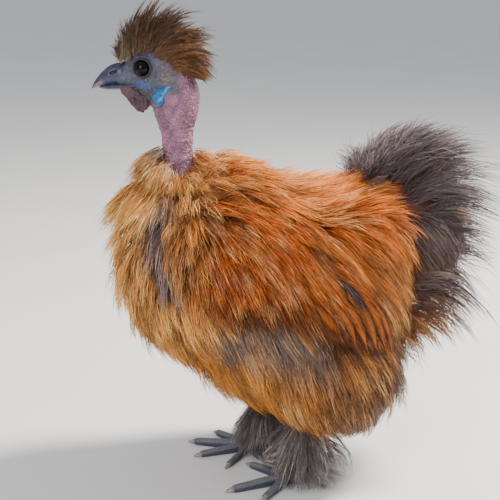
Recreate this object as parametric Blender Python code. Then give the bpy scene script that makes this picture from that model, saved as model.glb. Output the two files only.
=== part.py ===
"""A silkie hen with a bare neck, standing, as a still life-size model.

Metres, +Z up. The hen faces -X, its left side is at -Y, and it stands on the plane Z = 0.
The body is laid out about a working origin under its middle, and at the end the whole bird is
moved so that the middle of its box stands over the origin.
"""

import math
import random

import bmesh
import bpy
from mathutils import Matrix, Vector

# Driving sizes
GAP = 0.0003  # between two nodes that touch
SLIVER = 0.000015  # edges and triangles thinner than this are welded away
WELD_ROUNDS = 3
SHARP_ANGLE = math.radians(40)
CROWDED = "MANIFOLD"  # for feathers, whose crossings the exact solver leaves open or drops
SEED = 5
FAR = 0.2  # past the bird in any direction
SIDES = {"left": -1, "right": 1}

# The coat's outer form is a few ellipsoids: name, centre, radii
COAT_FORMS = {
    "breast": (Vector((-0.012, 0, 0.153)), Vector((0.083, 0.078, 0.078))),
    "belly": (Vector((0.030, 0, 0.121)), Vector((0.080, 0.076, 0.078))),
    "saddle": (Vector((0.052, 0, 0.160)), Vector((0.064, 0.062, 0.054))),
}
COAT_MIDDLE = Vector((0.018, 0, 0.138))  # every part of the coat's form can be seen from here
CORE_DEPTH = 0.017  # from the coat's tips down to the solid core under the locks
# How deep under the coat's form a lock runs, from its root inside the core to its tip
LOCK_DEPTHS = (0.026, 0.0155, 0.0085, 0.0035, -0.0010)
LOCK_SIZE = (0.056, 0.029, 0.0055)  # length, width and thickness
LOCK_WIDTHS = (0.75, 1.0, 0.95, 0.60)  # from root to tip, as shares of the lock's width
LOCK_THICKNESSES = (1.0, 1.0, 0.85, 0.55)
LOCK_SWAY = 0.22
COAT_LOCKS = 79  # spread over the whole form, before those under other nodes are left out
LEANING = Vector((0.30, 0, -0.35))  # how a lock hangs and trails, beside its lie along the body
COAT_SOURCE = Vector((-0.050, 0, 0.222))  # the coat lies away from here

NECK_PATH = [(-0.0470, 0.203), (-0.0478, 0.224), (-0.0480, 0.241), (-0.0478, 0.256)]  # X, Z
NECK_RADII = [0.0115, 0.0112, 0.0122, 0.0148]
NECK_TOP = 0.2535  # height at which neck and head part

HEAD_ORIGIN = Vector((-0.0700, 0.0050, 0.2815))  # midway between the eyes
HEAD_TURN = math.radians(12)  # to the hen's right
SKULL = [
    # forward, left, up; radii; nose down in degrees
    ((-0.0100, 0, 0.0015), (0.0205, 0.0135, 0.0130), 0),
    ((0.0050, 0, -0.0040), (0.0150, 0.0082, 0.0085), 12),
    ((-0.0070, 0, -0.0110), (0.0165, 0.0105, 0.0080), -12),
    ((-0.0205, 0, -0.0200), (0.0148, 0.0136, 0.0290), 0),
]
# Beak sections along its middle line: forward, up, half height, half width
BEAK_SECTIONS = {
    "upper": [
        (0.0100, -0.0040, 0.0069, 0.0068), (0.0160, -0.0046, 0.0067, 0.0060),
        (0.0215, -0.0056, 0.0060, 0.0048), (0.0265, -0.0078, 0.0044, 0.0034),
        (0.0305, -0.0103, 0.0027, 0.0020),
    ],
    "lower": [
        (0.0050, -0.0122, 0.0026, 0.0060), (0.0120, -0.0126, 0.0026, 0.0054),
        (0.0200, -0.0130, 0.0020, 0.0038), (0.0262, -0.0133, 0.0012, 0.0022),
    ],
}
BEAK_TIPS = {"upper": (0.0336, -0.0137), "lower": (0.0292, -0.0136)}
NOSTRIL = ((0.0195, 0.0058, -0.0030), (0.0024, 0.0016, 0.0009), 20)
EYE_RADIUS = 0.0056
EYE_OUT = 0.0098  # eye centre from the middle of the head
EYE_SOCKET = (0.0075, (0.0082, 0.0052, 0.0082))  # how far out, and radii
# A roll of skin: forward, out and up, radius and thickness
EYE_ROLL = (0, 0.0128, 0, 0.0054, 0.0011)
EAR_ROLL = (-0.0140, 0.0122, -0.0072, 0.0030, 0.0012)
EAR_HOLE = ((-0.0140, 0.0135, -0.0072), (0.0024, 0.0034, 0.0024), 0)
WATTLE = [
    ((0.0045, 0.0052, -0.0205), (0.0085, 0.0022, 0.0056), 30),
    ((-0.0010, 0.0056, -0.0235), (0.0058, 0.0026, 0.0044), 30),
    ((0.0080, 0.0046, -0.0165), (0.0058, 0.0024, 0.0036), 40),
]
EARLOBE = [
    ((-0.0120, 0.0108, -0.0185), (0.0072, 0.0022, 0.0042), -48),
    ((-0.0100, 0.0112, -0.0205), (0.0046, 0.0024, 0.0036), -48),
]
# What the crest keeps clear of, around an eye and its lids, and around an ear and its lobe
EYE_SPACE = ((0, 0.0140, -0.0008), (0.0095, 0.0120, 0.0085), 0)
EAR_SPACE = ((-0.0130, 0.0160, -0.0170), (0.0110, 0.0080, 0.0125), 0)

TAIL_ROOT_TOP = Vector((0.080, 0, 0.216))
TAIL_ROOT_LOW = Vector((0.132, 0, 0.104))

# Side outline of a wing's space, X and Z, from the shoulder along the top to the tip and back
WING_OUTLINE = [
    (-0.066, 0.186), (-0.052, 0.206), (-0.020, 0.204), (0.014, 0.192), (0.042, 0.168),
    (0.064, 0.137), (0.086, 0.098), (0.079, 0.091), (0.050, 0.095), (0.018, 0.106),
    (-0.018, 0.110), (-0.044, 0.119), (-0.060, 0.138), (-0.068, 0.162),
]
WING_BED = 0.020  # how far below the coat's tips a wing lies
WING_CORE_DEPTH = 0.009
WING_CORE_INSET = -0.010  # the core and the locks' roots stay inside the wing's outline
WING_ROOT_INSET = -0.009
WING_INNER = 0.010  # from the middle plane to the space that a wing may take
WING_LOCKS = 74
WING_LOCK_DEPTHS = (0.0150, 0.0065, 0.0015, -0.0020, -0.0050)
WING_LOCK_SIZE = (0.052, 0.025, 0.0042)
WING_SOURCE = (-0.062, 0.218)  # X and Z that the wing's feathers lie away from
# Flight feathers: X and Z of the first and last root, and of the tips from front to back
VANE_ROOTS = [(-0.026, 0.150), (-0.006, 0.152), (0.012, 0.153), (0.026, 0.154)]
VANE_TIPS = [(-0.014, 0.113), (0.014, 0.109), (0.046, 0.100), (0.076, 0.097), (0.068, 0.124)]
VANES = 8
VANE_SIZE = (0.0125, 0.0018)  # width and thickness
VANE_STEPS = (0, 0.28, 0.55, 0.80, 1)
VANE_DEPTHS = (0.0120, 0.0060, 0.0030, 0.0010, -0.0015)  # under the coat's form
VANE_RISE = 0.0015  # how much further out the last feather lies than the first
VANE_WIDTHS = (0.65, 0.95, 1.0, 0.70)
VANE_THICKNESSES = (1.6, 1.2, 1.0, 0.70)

# Side outline of a thigh's space, X and Z
THIGH_OUTLINE = [
    (-0.028, 0.092), (0.000, 0.116), (0.050, 0.112), (0.100, 0.100), (0.130, 0.070),
    (0.130, -0.020), (-0.060, -0.020),
]
THIGH_INNER = 0.012  # from the middle plane to a thigh
THIGH_BED = 0.0187
THIGH_CENTRE = {"left": Vector((0.047, -0.041, 0.073)), "right": Vector((0.038, 0.041, 0.073))}
THIGH_RADII = Vector((0.052, 0.040, 0.048))
# Height on the form from -1 to 1, how many locks, and how far above the lowest tips these end
THIGH_TIERS = [(0.25, 4, 0.020), (-0.10, 4, 0.010), (-0.45, 5, 0.002)]
THIGH_LOCK_SIZE = (0.030, 0.0055)  # width and thickness
THIGH_LEANS = (0.30, 0.12, -0.05)  # how far out a lock hangs as it falls
THIGH_LOW = 0.0310  # the thighs' tips end at this height, and the shanks' feathers begin

TAIL_ROOT = Vector((0.084, 0, 0.166))
TAIL_CORE = (Vector((0.103, 0, 0.170)), Vector((0.046, 0.034, 0.048)))
# Tail feathers: how far sideways a row fans out, how many, and the highest and lowest of them
TAIL_ROWS = [(0, 11, 98, -54), (16, 10, 94, -50), (-16, 10, 94, -50), (33, 7, 82, -44), (-33, 7, 82, -44)]
TAIL_LENGTHS = [0.088, 0.092, 0.096, 0.094, 0.068]  # from the lowest to the highest
TAIL_FEATHER = (0.0200, 0.0036)  # width and thickness
TAIL_LIFT = 0.30  # a feather leaves its root this much steeper than it ends
TAIL_DROOP = 0.45
FAN_STEPS = (0.30, 0.28, 0.24, 0.18)  # shares of a fanned feather's length
FAN_WIDTHS = (0.70, 1.0, 0.90, 0.55)
FAN_THICKNESSES = (1.2, 1.0, 0.85, 0.60)

CREST_CORE = ((-0.014, 0, 0.009), (0.021, 0.0135, 0.0125))
CREST_ROOT = (-0.013, 0, 0.006)
# Crest feathers: how far sideways a row leans, how many, and the first and last, up from straight ahead
CREST_ROWS = [(0, 8, 22, 196), (30, 6, 30, 186), (-30, 6, 30, 186), (60, 3, 52, 172), (-60, 3, 52, 172)]
CREST_LENGTHS = [0.028, 0.032, 0.035, 0.036, 0.038, 0.041, 0.045]  # from the front to the back
CREST_FEATHER = (0.0140, 0.0028)

# Under another node the torso has no locks: how far inside its outline, and how far out from the middle
UNDER_WING = (-0.012, 0.040)
UNDER_THIGH = (-0.008, 0.020)
UNDER_TAIL = -0.012

SHANK_RADIUS = 0.0050
SHANK_LOCKS = 9
SHANK_LOCK = (0.0190, 0.0034)
SHANK_WIDTHS = (0.70, 1.0, 0.75)
SHANK_THICKNESSES = (1.2, 1.0, 0.70)
SHANK_SPREAD = (0.014, 0.028)  # how far the feathers fall from the foot's middle, ahead and behind
SHANK_LOW = 0.0125
SHANK_TOP = {"left": Vector((0.034, -0.032, 0.060)), "right": Vector((0.022, 0.030, 0.060))}
FOOT_PAD = {"left": Vector((0.020, -0.033, 0.0062)), "right": Vector((0.0060, 0.029, 0.0062))}
PAD_RADII = Vector((0.0085, 0.0080, 0.0072))

# Each toe: heading in degrees outward from straight ahead, length, root and end radius, end height
TOES = {
    "left": {
        "inner": (-56, 0.034, 0.0036, 0.0025, 0.0023),
        "middle": (13, 0.040, 0.0040, 0.0027, 0.0024),
        "outer": (50, 0.034, 0.0036, 0.0025, 0.0023),
        "hind": (-166, 0.019, 0.0032, 0.0023, 0.0021),
        "fifth": (-118, 0.019, 0.0028, 0.0020, 0.0110),
    },
    "right": {
        "inner": (-9, 0.036, 0.0036, 0.0025, 0.0023),
        "middle": (27, 0.040, 0.0040, 0.0027, 0.0024),
        "outer": (62, 0.036, 0.0036, 0.0025, 0.0023),
        "hind": (-99, 0.019, 0.0032, 0.0023, 0.0021),
        "fifth": (-53, 0.034, 0.0030, 0.0022, 0.0021),
    },
}
CLAW_LENGTH = 0.0075
# Claw sections: how far along, radius and drop, as shares
CLAW_SECTIONS = ((0, 1.0, 0.0), (0.40, 0.78, 0.02), (0.75, 0.45, 0.07))
CLAW_DROP = 0.16

COLOURS = {
    "coat": ((0.42, 0.19, 0.07), 0.75),
    "wing": ((0.40, 0.13, 0.03), 0.70),
    "tail": ((0.10, 0.08, 0.08), 0.75),
    "crest": ((0.14, 0.08, 0.05), 0.75),
    "neck_skin": ((0.30, 0.14, 0.17), 0.55),
    "face_skin": ((0.12, 0.13, 0.19), 0.50),
    "beak": ((0.07, 0.09, 0.16), 0.35),
    "eye": ((0.01, 0.01, 0.01), 0.08),
    "earlobe": ((0.02, 0.42, 0.62), 0.45),
    "wattle": ((0.16, 0.07, 0.09), 0.50),
    "foot_feather": ((0.17, 0.14, 0.14), 0.75),
    "foot_scale": ((0.10, 0.12, 0.20), 0.45),
    "claw": ((0.32, 0.30, 0.28), 0.40),
}


# Scene and materials


def clear_scene():
    for old in list(bpy.data.objects):
        bpy.data.objects.remove(old)
    for name in ("silkie_hen", "cutters"):
        group = bpy.data.collections.new(name)
        bpy.context.scene.collection.children.link(group)
    bpy.data.collections["cutters"].hide_render = True


def material(name):
    found = bpy.data.materials.get(name)
    if found:
        return found
    colour, roughness = COLOURS[name]
    made = bpy.data.materials.new(name)
    made.use_nodes = True
    shader = made.node_tree.nodes["Principled BSDF"]
    shader.inputs["Base Color"].default_value = (*colour, 1)
    shader.inputs["Roughness"].default_value = roughness
    shader.inputs["Metallic"].default_value = 0
    made.diffuse_color = (*colour, 1)
    return made


def piece(shape, name="piece"):
    """A bmesh as an object among the cutters, until finish_node() makes it a node."""
    bmesh.ops.recalc_face_normals(shape, faces=shape.faces)
    mesh = bpy.data.meshes.new(name)
    shape.to_mesh(mesh)
    shape.free()
    made = bpy.data.objects.new(name, mesh)
    bpy.data.collections["cutters"].objects.link(made)
    return made


def neighbours(vertex):
    return {edge.other_vert(vertex) for edge in vertex.link_edges}


def collapse_short_edges(shape):
    for edge in list(shape.edges):
        if not edge.is_valid or edge.calc_length() > SLIVER:
            continue
        if len(neighbours(edge.verts[0]) & neighbours(edge.verts[1])) == 2:
            bmesh.ops.collapse(shape, edges=[edge])


def turn_flat_triangles(shape):
    for face in list(shape.faces):
        if not face.is_valid:
            continue
        longest = max(face.edges, key=lambda edge: edge.calc_length())
        corners = {corner for side in longest.link_faces for corner in side.verts}
        tips = list(corners - set(longest.verts))
        thin = 2 * face.calc_area() < SLIVER * longest.calc_length()
        if thin and len(tips) == 2 and tips[0] not in neighbours(tips[1]):
            bmesh.utils.edge_rotate(longest, False)
    bmesh.ops.recalc_face_normals(shape, faces=shape.faces)


def weld_slivers(made):
    """Takes out edges and triangles too thin for a solid's faces; the surface stays closed."""
    shape = bmesh.new()
    shape.from_mesh(made.data)
    bmesh.ops.triangulate(shape, faces=shape.faces)
    for _ in range(WELD_ROUNDS):
        collapse_short_edges(shape)
        turn_flat_triangles(shape)
    shape.to_mesh(made.data)
    shape.free()


def finish_node(made, name, slot):
    keep_largest(made)
    weld_slivers(made)
    made.name = name
    made.data.name = name
    made.data.materials.clear()
    made.data.materials.append(material(slot))
    made.data.shade_smooth()
    made.data.set_sharp_from_angle(angle=SHARP_ANGLE)
    bpy.data.collections["cutters"].objects.unlink(made)
    bpy.data.collections["silkie_hen"].objects.link(made)
    return made


# Booleans


def apply_boolean(target, operation, tools, solver):
    """Joins the tools to the target, cuts them from it, or keeps what it shares with them."""
    group = bpy.data.collections.new("tools")
    bpy.context.scene.collection.children.link(group)
    for tool in tools:
        bpy.data.collections["cutters"].objects.unlink(tool)
        group.objects.link(tool)
    step = target.modifiers.new("Boolean", "BOOLEAN")
    step.operation = operation
    step.operand_type = "COLLECTION"
    step.collection = group
    step.solver = solver
    bpy.context.view_layer.update()
    graph = bpy.context.evaluated_depsgraph_get()
    joined = bpy.data.meshes.new_from_object(target.evaluated_get(graph))
    target.modifiers.clear()
    target.data = joined
    for tool in tools:
        bpy.data.objects.remove(tool)
    bpy.data.collections.remove(group)
    return target


def union(tools, solver="EXACT"):
    return apply_boolean(tools[0], "UNION", tools[1:], solver) if len(tools) > 1 else tools[0]


def cut(target, *tools, solver="EXACT"):
    return apply_boolean(target, "DIFFERENCE", list(tools), solver)


def keep_inside(target, tool, solver="EXACT"):
    return apply_boolean(target, "INTERSECT", [tool], solver)


def keep_largest(made):
    """Leaves only the closed surface that holds the most."""
    shape = bmesh.new()
    shape.from_mesh(made.data)
    waiting = set(shape.faces)
    islands = []
    while waiting:
        reached = [waiting.pop()]
        island = []
        while reached:
            face = reached.pop()
            island.append(face)
            for edge in face.edges:
                for other in edge.link_faces:
                    if other in waiting:
                        waiting.remove(other)
                        reached.append(other)
        islands.append(island)

    def volume(island):
        total = 0
        for face in island:
            first = face.verts[0].co
            for a, b in zip(face.verts[1:-1], face.verts[2:]):
                total += first.dot(a.co.cross(b.co)) / 6
        return total

    kept = max(islands, key=volume)
    dropped = [face for island in islands if island is not kept for face in island]
    bmesh.ops.delete(shape, geom=dropped, context="FACES")
    shape.to_mesh(made.data)
    shape.free()


# Basic forms


def ellipsoid(centre, radii, turn=None, across=20, up=12):
    shape = bmesh.new()
    place = Matrix.Translation(centre) @ (turn or Matrix.Identity(4)) @ Matrix.Diagonal((*radii, 1))
    bmesh.ops.create_uvsphere(shape, u_segments=across, v_segments=up, radius=1, matrix=place)
    return piece(shape)


def block(low, high):
    low, high = Vector(low), Vector(high)
    shape = bmesh.new()
    place = Matrix.Translation((low + high) / 2) @ Matrix.Diagonal((*(high - low), 1))
    bmesh.ops.create_cube(shape, size=1, matrix=place)
    return piece(shape)


def prism(outline, low, high):
    """A side outline, X and Z, drawn out along Y."""
    shape = bmesh.new()
    face = shape.faces.new([shape.verts.new((x, low, z)) for x, z in outline])
    drawn = bmesh.ops.extrude_face_region(shape, geom=[face])["geom"]
    moved = [v for v in drawn if isinstance(v, bmesh.types.BMVert)]
    bmesh.ops.translate(shape, verts=moved, vec=(0, high - low, 0))
    return piece(shape)


def grown(outline, by):
    """The outline moved outward by a small distance at every corner."""
    middle = sum((Vector(p) for p in outline), Vector((0, 0))) / len(outline)
    out = []
    for before, here, after in zip(outline[-1:] + outline[:-1], outline, outline[1:] + outline[:1]):
        along = (Vector(after) - Vector(before)).normalized()
        away = Vector((along.y, -along.x))
        if away.dot(Vector(here) - middle) < 0:
            away = -away
        out.append(tuple(Vector(here) + away * by))
    return out


def tube(points, radii, sides=8):
    """A round tube through the points, by a bevelled curve made into a closed mesh."""
    curve = bpy.data.curves.new("tube", "CURVE")
    curve.dimensions = "3D"
    curve.bevel_depth = 1
    curve.bevel_resolution = sides // 2 - 2
    curve.use_fill_caps = True
    spline = curve.splines.new("POLY")
    spline.points.add(len(points) - 1)
    for point, place, radius in zip(spline.points, points, radii):
        point.co = (*place, 1)
        point.radius = radius
    holder = bpy.data.objects.new("tube", curve)
    bpy.data.collections["cutters"].objects.link(holder)
    bpy.context.view_layer.update()
    graph = bpy.context.evaluated_depsgraph_get()
    mesh = bpy.data.meshes.new_from_object(holder.evaluated_get(graph))
    bpy.data.objects.remove(holder)
    shape = bmesh.new()
    shape.from_mesh(mesh)
    bmesh.ops.remove_doubles(shape, verts=shape.verts, dist=1e-6)
    return piece(shape)


def blend(values, t):
    """The value at t of a list of values spread evenly from 0 to 1."""
    place = min(max(t, 0), 1) * (len(values) - 1)
    index = min(int(place), len(values) - 2)
    return values[index] + (values[index + 1] - values[index]) * (place - index)


def loft(rings, tip=None):
    """A closed skin over rings of equal count, with a flat first end and a flat or pointed last one."""
    shape = bmesh.new()
    rows = [[shape.verts.new(p) for p in ring] for ring in rings]
    shape.faces.new(rows[0])
    for row, following in zip(rows, rows[1:]):
        for i in range(len(row)):
            j = (i + 1) % len(row)
            shape.faces.new((row[i], row[j], following[j]))
            shape.faces.new((row[i], following[j], following[i]))
    if tip is None:
        shape.faces.new(rows[-1])
    else:
        end = shape.verts.new(tip)
        for i in range(len(rows[-1])):
            shape.faces.new((rows[-1][i], rows[-1][(i + 1) % len(rows[-1])], end))
    return piece(shape)


# Locks and vanes


def blade(points, faces_out, widths, thicknesses):
    """A flat tapered lock or vane with a low ridge: sections along a path, the last point its tip."""
    shape = bmesh.new()
    rows = []
    for i, (point, out, wide, thick) in enumerate(zip(points[:-1], faces_out, widths, thicknesses)):
        along = (points[i + 1] - points[max(i - 1, 0)]).normalized()
        side = along.cross(out).normalized()
        flat = side.cross(along).normalized()
        low = flat * thick / 3
        corners = (side * wide / 2 - low, low * 2, -side * wide / 2 - low)
        rows.append([shape.verts.new(point + corner) for corner in corners])
    shape.faces.new(rows[0])
    for (a, b, c), (d, e, f) in zip(rows, rows[1:]):
        for corners in ((a, b, e), (a, e, d), (b, c, e), (c, f, e), (c, a, f), (a, d, f)):
            shape.faces.new(corners)
    tip = shape.verts.new(points[-1])
    for i in range(3):
        shape.faces.new((rows[-1][i], rows[-1][(i + 1) % 3], tip))
    return piece(shape)


def scaled(size, shares):
    return [size * share for share in shares]


def even_directions(count):
    """Directions spread evenly all round, by turning a golden angle from each to the next."""
    golden = math.pi * (3 - math.sqrt(5))
    for i in range(count):
        z = 1 - (2 * i + 1) / count
        level = math.sqrt(1 - z * z)
        yield Vector((level * math.cos(golden * i), level * math.sin(golden * i), z))


def reach(form, direction):
    """How far a form of a few ellipsoids reaches from its middle in a direction."""
    middle, ellipsoids = form
    far = 0
    for centre, radii in ellipsoids:
        start = Vector([(m - c) / r for m, c, r in zip(middle, centre, radii)])
        step = Vector([d / r for d, r in zip(direction, radii)])
        a, b, c = step.dot(step), start.dot(step), start.dot(start) - 1
        if b * b - a * c > 0:
            far = max(far, (-b + math.sqrt(b * b - a * c)) / a)
    return far


def point_on(form, direction, depth):
    return form[0] + direction * (reach(form, direction) - depth)


def normal_on(form, direction):
    """Outward from a form, from four of its points close together."""
    side = direction.orthogonal().normalized() * 0.04
    other = direction.cross(side)
    around = [point_on(form, (direction + step).normalized(), 0) for step in (side, other, -side, -other)]
    normal = (around[0] - around[2]).cross(around[1] - around[3]).normalized()
    return normal if normal.dot(direction) > 0 else -normal


def coat_form():
    return COAT_MIDDLE, list(COAT_FORMS.values())


def lock_on(form, direction, source, draw, depths=LOCK_DEPTHS, size=LOCK_SIZE):
    """A lock rooted in the core, that lies along a form away from a source and bends out to its tip."""
    length, width, thickness = size
    points, normals = [], []
    sway = draw.uniform(-LOCK_SWAY, LOCK_SWAY)
    step = length * draw.uniform(0.88, 1.12) / (len(depths) - 1)
    lift = draw.uniform(-0.0015, 0.0020)
    heading = Vector((0, 0, 0))
    for i, depth in enumerate(depths):
        normal = normal_on(form, direction)
        points.append(point_on(form, direction, depth - lift * i / (len(depths) - 1)))
        normals.append(normal)
        lie = (points[-1] - source).normalized() + LEANING + heading
        lie = (lie - normal * lie.dot(normal)).normalized()
        heading = (lie + normal.cross(lie) * sway * (i == 0)).normalized()
        direction = (points[-1] + heading * step - form[0]).normalized()
    return blade(points, normals, scaled(width, LOCK_WIDTHS), scaled(thickness, LOCK_THICKNESSES))


def fan_feather(root, start, droop, length, size, draw):
    """A feather that leaves its root in a direction and bends over by its own weight."""
    width, thickness = size
    heading = start.normalized()
    aside = heading.cross(Vector((0, 0, 1)))
    aside = aside.normalized() if aside.length > 0.1 else Vector((0, 1, 0))
    points, outs = [root.copy()], []
    for share in FAN_STEPS:
        out = aside.cross(heading).normalized()
        outs.append((out + aside * draw.uniform(-0.5, 0.5)).normalized())
        points.append(points[-1] + heading * length * share)
        heading = (heading + Vector((0, 0, -1)) * droop * share * 2).normalized()
    return blade(points, outs, scaled(width, FAN_WIDTHS), scaled(thickness, FAN_THICKNESSES))


# The head's own frame: forward, left and up of the point midway between the eyes


def on_head(forward, left, up):
    ahead = Vector((-math.cos(HEAD_TURN), math.sin(HEAD_TURN), 0))
    aside = Vector((-math.sin(HEAD_TURN), -math.cos(HEAD_TURN), 0))
    return HEAD_ORIGIN + ahead * forward + aside * left + Vector((0, 0, up))


def head_turn(pitch=0.0):
    """The head's axes as a matrix, nose down by pitch degrees."""
    turn = Matrix.Rotation(math.pi - HEAD_TURN, 4, "Z")
    return turn @ Matrix.Rotation(math.radians(pitch), 4, "Y")


def head_ellipsoid(place, radii, pitch=0.0, across=12, rows=8):
    return ellipsoid(on_head(*place), radii, head_turn(pitch), across, rows)


def beside(place, sign):
    """A place on one side of the head, given as forward, out and up."""
    forward, out, up = place
    return forward, -sign * out, up


def side_forms(forms, sign):
    return [head_ellipsoid(beside(place, sign), radii, pitch, 8, 6) for place, radii, pitch in forms]


def skull(grow=0.0):
    """The head's flesh: cranium, cheeks, the face down to the beak, and the throat."""
    wider = Vector((grow, grow, grow))
    return union([head_ellipsoid(place, Vector(radii) + wider, pitch) for place, radii, pitch in SKULL])


def eye_ball(side, grow=0.0):
    radius = EYE_RADIUS + grow
    return head_ellipsoid(beside((0, EYE_OUT, 0), SIDES[side]), (radius, radius, radius))


def roll_on_head(roll, sign, grow):
    """A round roll of skin lying against the side of the head."""
    forward, out, up, radius, thickness = roll
    bpy.ops.mesh.primitive_torus_add(
        major_radius=radius, minor_radius=thickness + grow, major_segments=12, minor_segments=4
    )
    made = bpy.context.object
    made.data.transform(head_turn() @ Matrix.Rotation(math.pi / 2, 4, "X"))
    made.data.transform(Matrix.Translation(on_head(*beside((forward, out, up), sign))))
    for group in list(made.users_collection):
        group.objects.unlink(made)
    bpy.data.collections["cutters"].objects.link(made)
    return made


def head_flesh(grow=0.0):
    """The skull's flesh with the rolls of skin around the eyes and ears."""
    out, radii = EYE_SOCKET
    flesh = [skull(grow)]
    for sign in SIDES.values():
        socket = [radius + grow for radius in radii]
        flesh.append(head_ellipsoid(beside((0, out, 0), sign), socket, 0, 14, 6))
        flesh += [roll_on_head(roll, sign, grow) for roll in (EYE_ROLL, EAR_ROLL)]
    return union(flesh)


def make_head():
    head = head_flesh()
    ears = [ear for sign in SIDES.values() for ear in side_forms([EAR_HOLE], sign)]
    below = block((-FAR, -FAR, NECK_TOP - FAR), (FAR, FAR, NECK_TOP + GAP / 2))
    cut(head, below, *ears, *[eye_ball(side, GAP) for side in SIDES])
    finish_node(head, "head", "face_skin")
    for side in SIDES:
        finish_node(eye_ball(side), f"eye_{side}", "eye")


def beak_half(path, tip, grow=0.0, steps=12):
    """One half of the beak, from oval sections: forward, up, half height and half width."""
    rings = []
    for forward, up, tall, wide in path:
        turns = [2 * math.pi * i / steps for i in range(steps)]
        rings.append([
            on_head(forward, (wide + grow) * math.cos(a), up + (tall + grow) * math.sin(a)) for a in turns
        ])
    return loft(rings, on_head(tip[0] + grow, 0, tip[1] - grow))


def beak_form(half, grow=0.0):
    return beak_half(BEAK_SECTIONS[half], BEAK_TIPS[half], grow)


def make_beak():
    upper = beak_form("upper")
    nostrils = [hole for sign in SIDES.values() for hole in side_forms([NOSTRIL], sign)]
    cut(upper, head_flesh(GAP), *nostrils)
    finish_node(upper, "beak_upper", "beak")
    lower = beak_form("lower")
    cut(lower, head_flesh(GAP), beak_form("upper", GAP))
    finish_node(lower, "beak_lower", "beak")


def make_wattles_and_lobes():
    for side, sign in SIDES.items():
        wattle = union(side_forms(WATTLE, sign))
        cut(wattle, head_flesh(GAP), beak_form("lower", GAP))
        finish_node(wattle, f"wattle_{side}", "wattle")
        lobe = union(side_forms(EARLOBE, sign))
        cut(lobe, head_flesh(GAP))
        finish_node(lobe, f"earlobe_{side}", "earlobe")


def space_beside(space, sign):
    """What the crest keeps clear of on one side of the head."""
    place, radii, pitch = space
    return head_ellipsoid(beside(place, sign), radii, pitch, 14, 8)


def make_crest():
    draw = random.Random(SEED + 1)
    place, radii = CREST_CORE
    feathers = [head_ellipsoid(place, radii, 0, 14, 9)]
    for lean, count, first, last in CREST_ROWS:
        for i in range(count):
            t = (i + 0.5) / count
            turn = math.radians(first + (last - first) * t + draw.uniform(-5, 5))
            side = math.radians(lean + draw.uniform(-6, 6))
            level, up = math.cos(turn), math.sin(turn)
            ahead = on_head(level * math.cos(side), math.sin(side), up * math.cos(side)) - HEAD_ORIGIN
            length = blend(CREST_LENGTHS, t) * draw.uniform(0.86, 1.10)
            droop = 0.25 + 0.35 * max(0, -level)
            root = on_head(*CREST_ROOT) + Vector([draw.uniform(-0.002, 0.002) for axis in range(3)])
            feathers.append(fan_feather(root, ahead, droop, length, CREST_FEATHER, draw))
    crest = union(feathers, CROWDED)
    cut(crest, head_flesh(GAP), beak_form("upper", GAP), solver=CROWDED)
    spaces = [space_beside(space, sign) for space in (EYE_SPACE, EAR_SPACE) for sign in SIDES.values()]
    cut(crest, *spaces, solver=CROWDED)
    finish_node(crest, "crest", "crest")


# Neck, torso, wings, tail and thighs


def make_neck():
    neck = neck_tube()
    above = block((-FAR, -FAR, NECK_TOP - GAP / 2), (FAR, FAR, NECK_TOP + FAR))
    cut(neck, above)
    finish_node(neck, "neck", "neck_skin")


def neck_tube(grow=0.0):
    points = [Vector((x, 0, z)) for x, z in NECK_PATH]
    points[0].z -= grow
    return tube(points, [radius + grow for radius in NECK_RADII], 14)


def coat_ellipsoids(depth, across=18, up=11):
    """The coat's outer form, taken in by depth."""
    inward = Vector((depth, depth, depth))
    return [ellipsoid(centre, radii - inward, None, across, up) for centre, radii in COAT_FORMS.values()]


def wing_space(sign, grow=0.0):
    """A wing's own space: its side outline drawn outward from the bed that it lies on."""
    space = prism(grown(WING_OUTLINE, grow), sign * WING_INNER, sign * FAR)
    return cut(space, *coat_ellipsoids(WING_BED + grow, 14, 9))


def thigh_space(sign, grow=0.0):
    inner = sign * (THIGH_INNER - grow)
    space = prism(grown(THIGH_OUTLINE, grow), inner, sign * FAR)
    return cut(space, *coat_ellipsoids(THIGH_BED + grow, 16, 9))


def tail_space(grow=0.0):
    """Everything behind the sloping plane where the tail begins."""
    down = (TAIL_ROOT_LOW - TAIL_ROOT_TOP).normalized()
    back = Vector((-down.z, 0, down.x))
    shape = bmesh.new()
    turn = Matrix((back, Vector((0, 1, 0)), -down)).transposed().to_4x4()
    centre = (TAIL_ROOT_TOP + TAIL_ROOT_LOW) / 2 + back * (FAR - grow)
    bmesh.ops.create_cube(shape, size=2 * FAR, matrix=Matrix.Translation(centre) @ turn)
    return piece(shape)


def inside_outline(outline, x, z):
    """Whether a point is inside a side outline, by counting the edges past it."""
    inside = False
    for (ax, az), (bx, bz) in zip(outline, outline[1:] + outline[:1]):
        if (az > z) != (bz > z) and x < ax + (z - az) * (bx - ax) / (bz - az):
            inside = not inside
    return inside


def shows_on_torso(place):
    """Whether the torso's coat is at the surface here, and not under a wing, the tail or a thigh."""
    for outline, (inset, out) in ((WING_OUTLINE, UNDER_WING), (THIGH_OUTLINE, UNDER_THIGH)):
        if abs(place.y) > out and inside_outline(grown(outline, inset), place.x, place.z):
            return False
    slope = (TAIL_ROOT_LOW - TAIL_ROOT_TOP).normalized()
    return (place - TAIL_ROOT_TOP).dot(Vector((-slope.z, 0, slope.x))) < UNDER_TAIL


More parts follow.
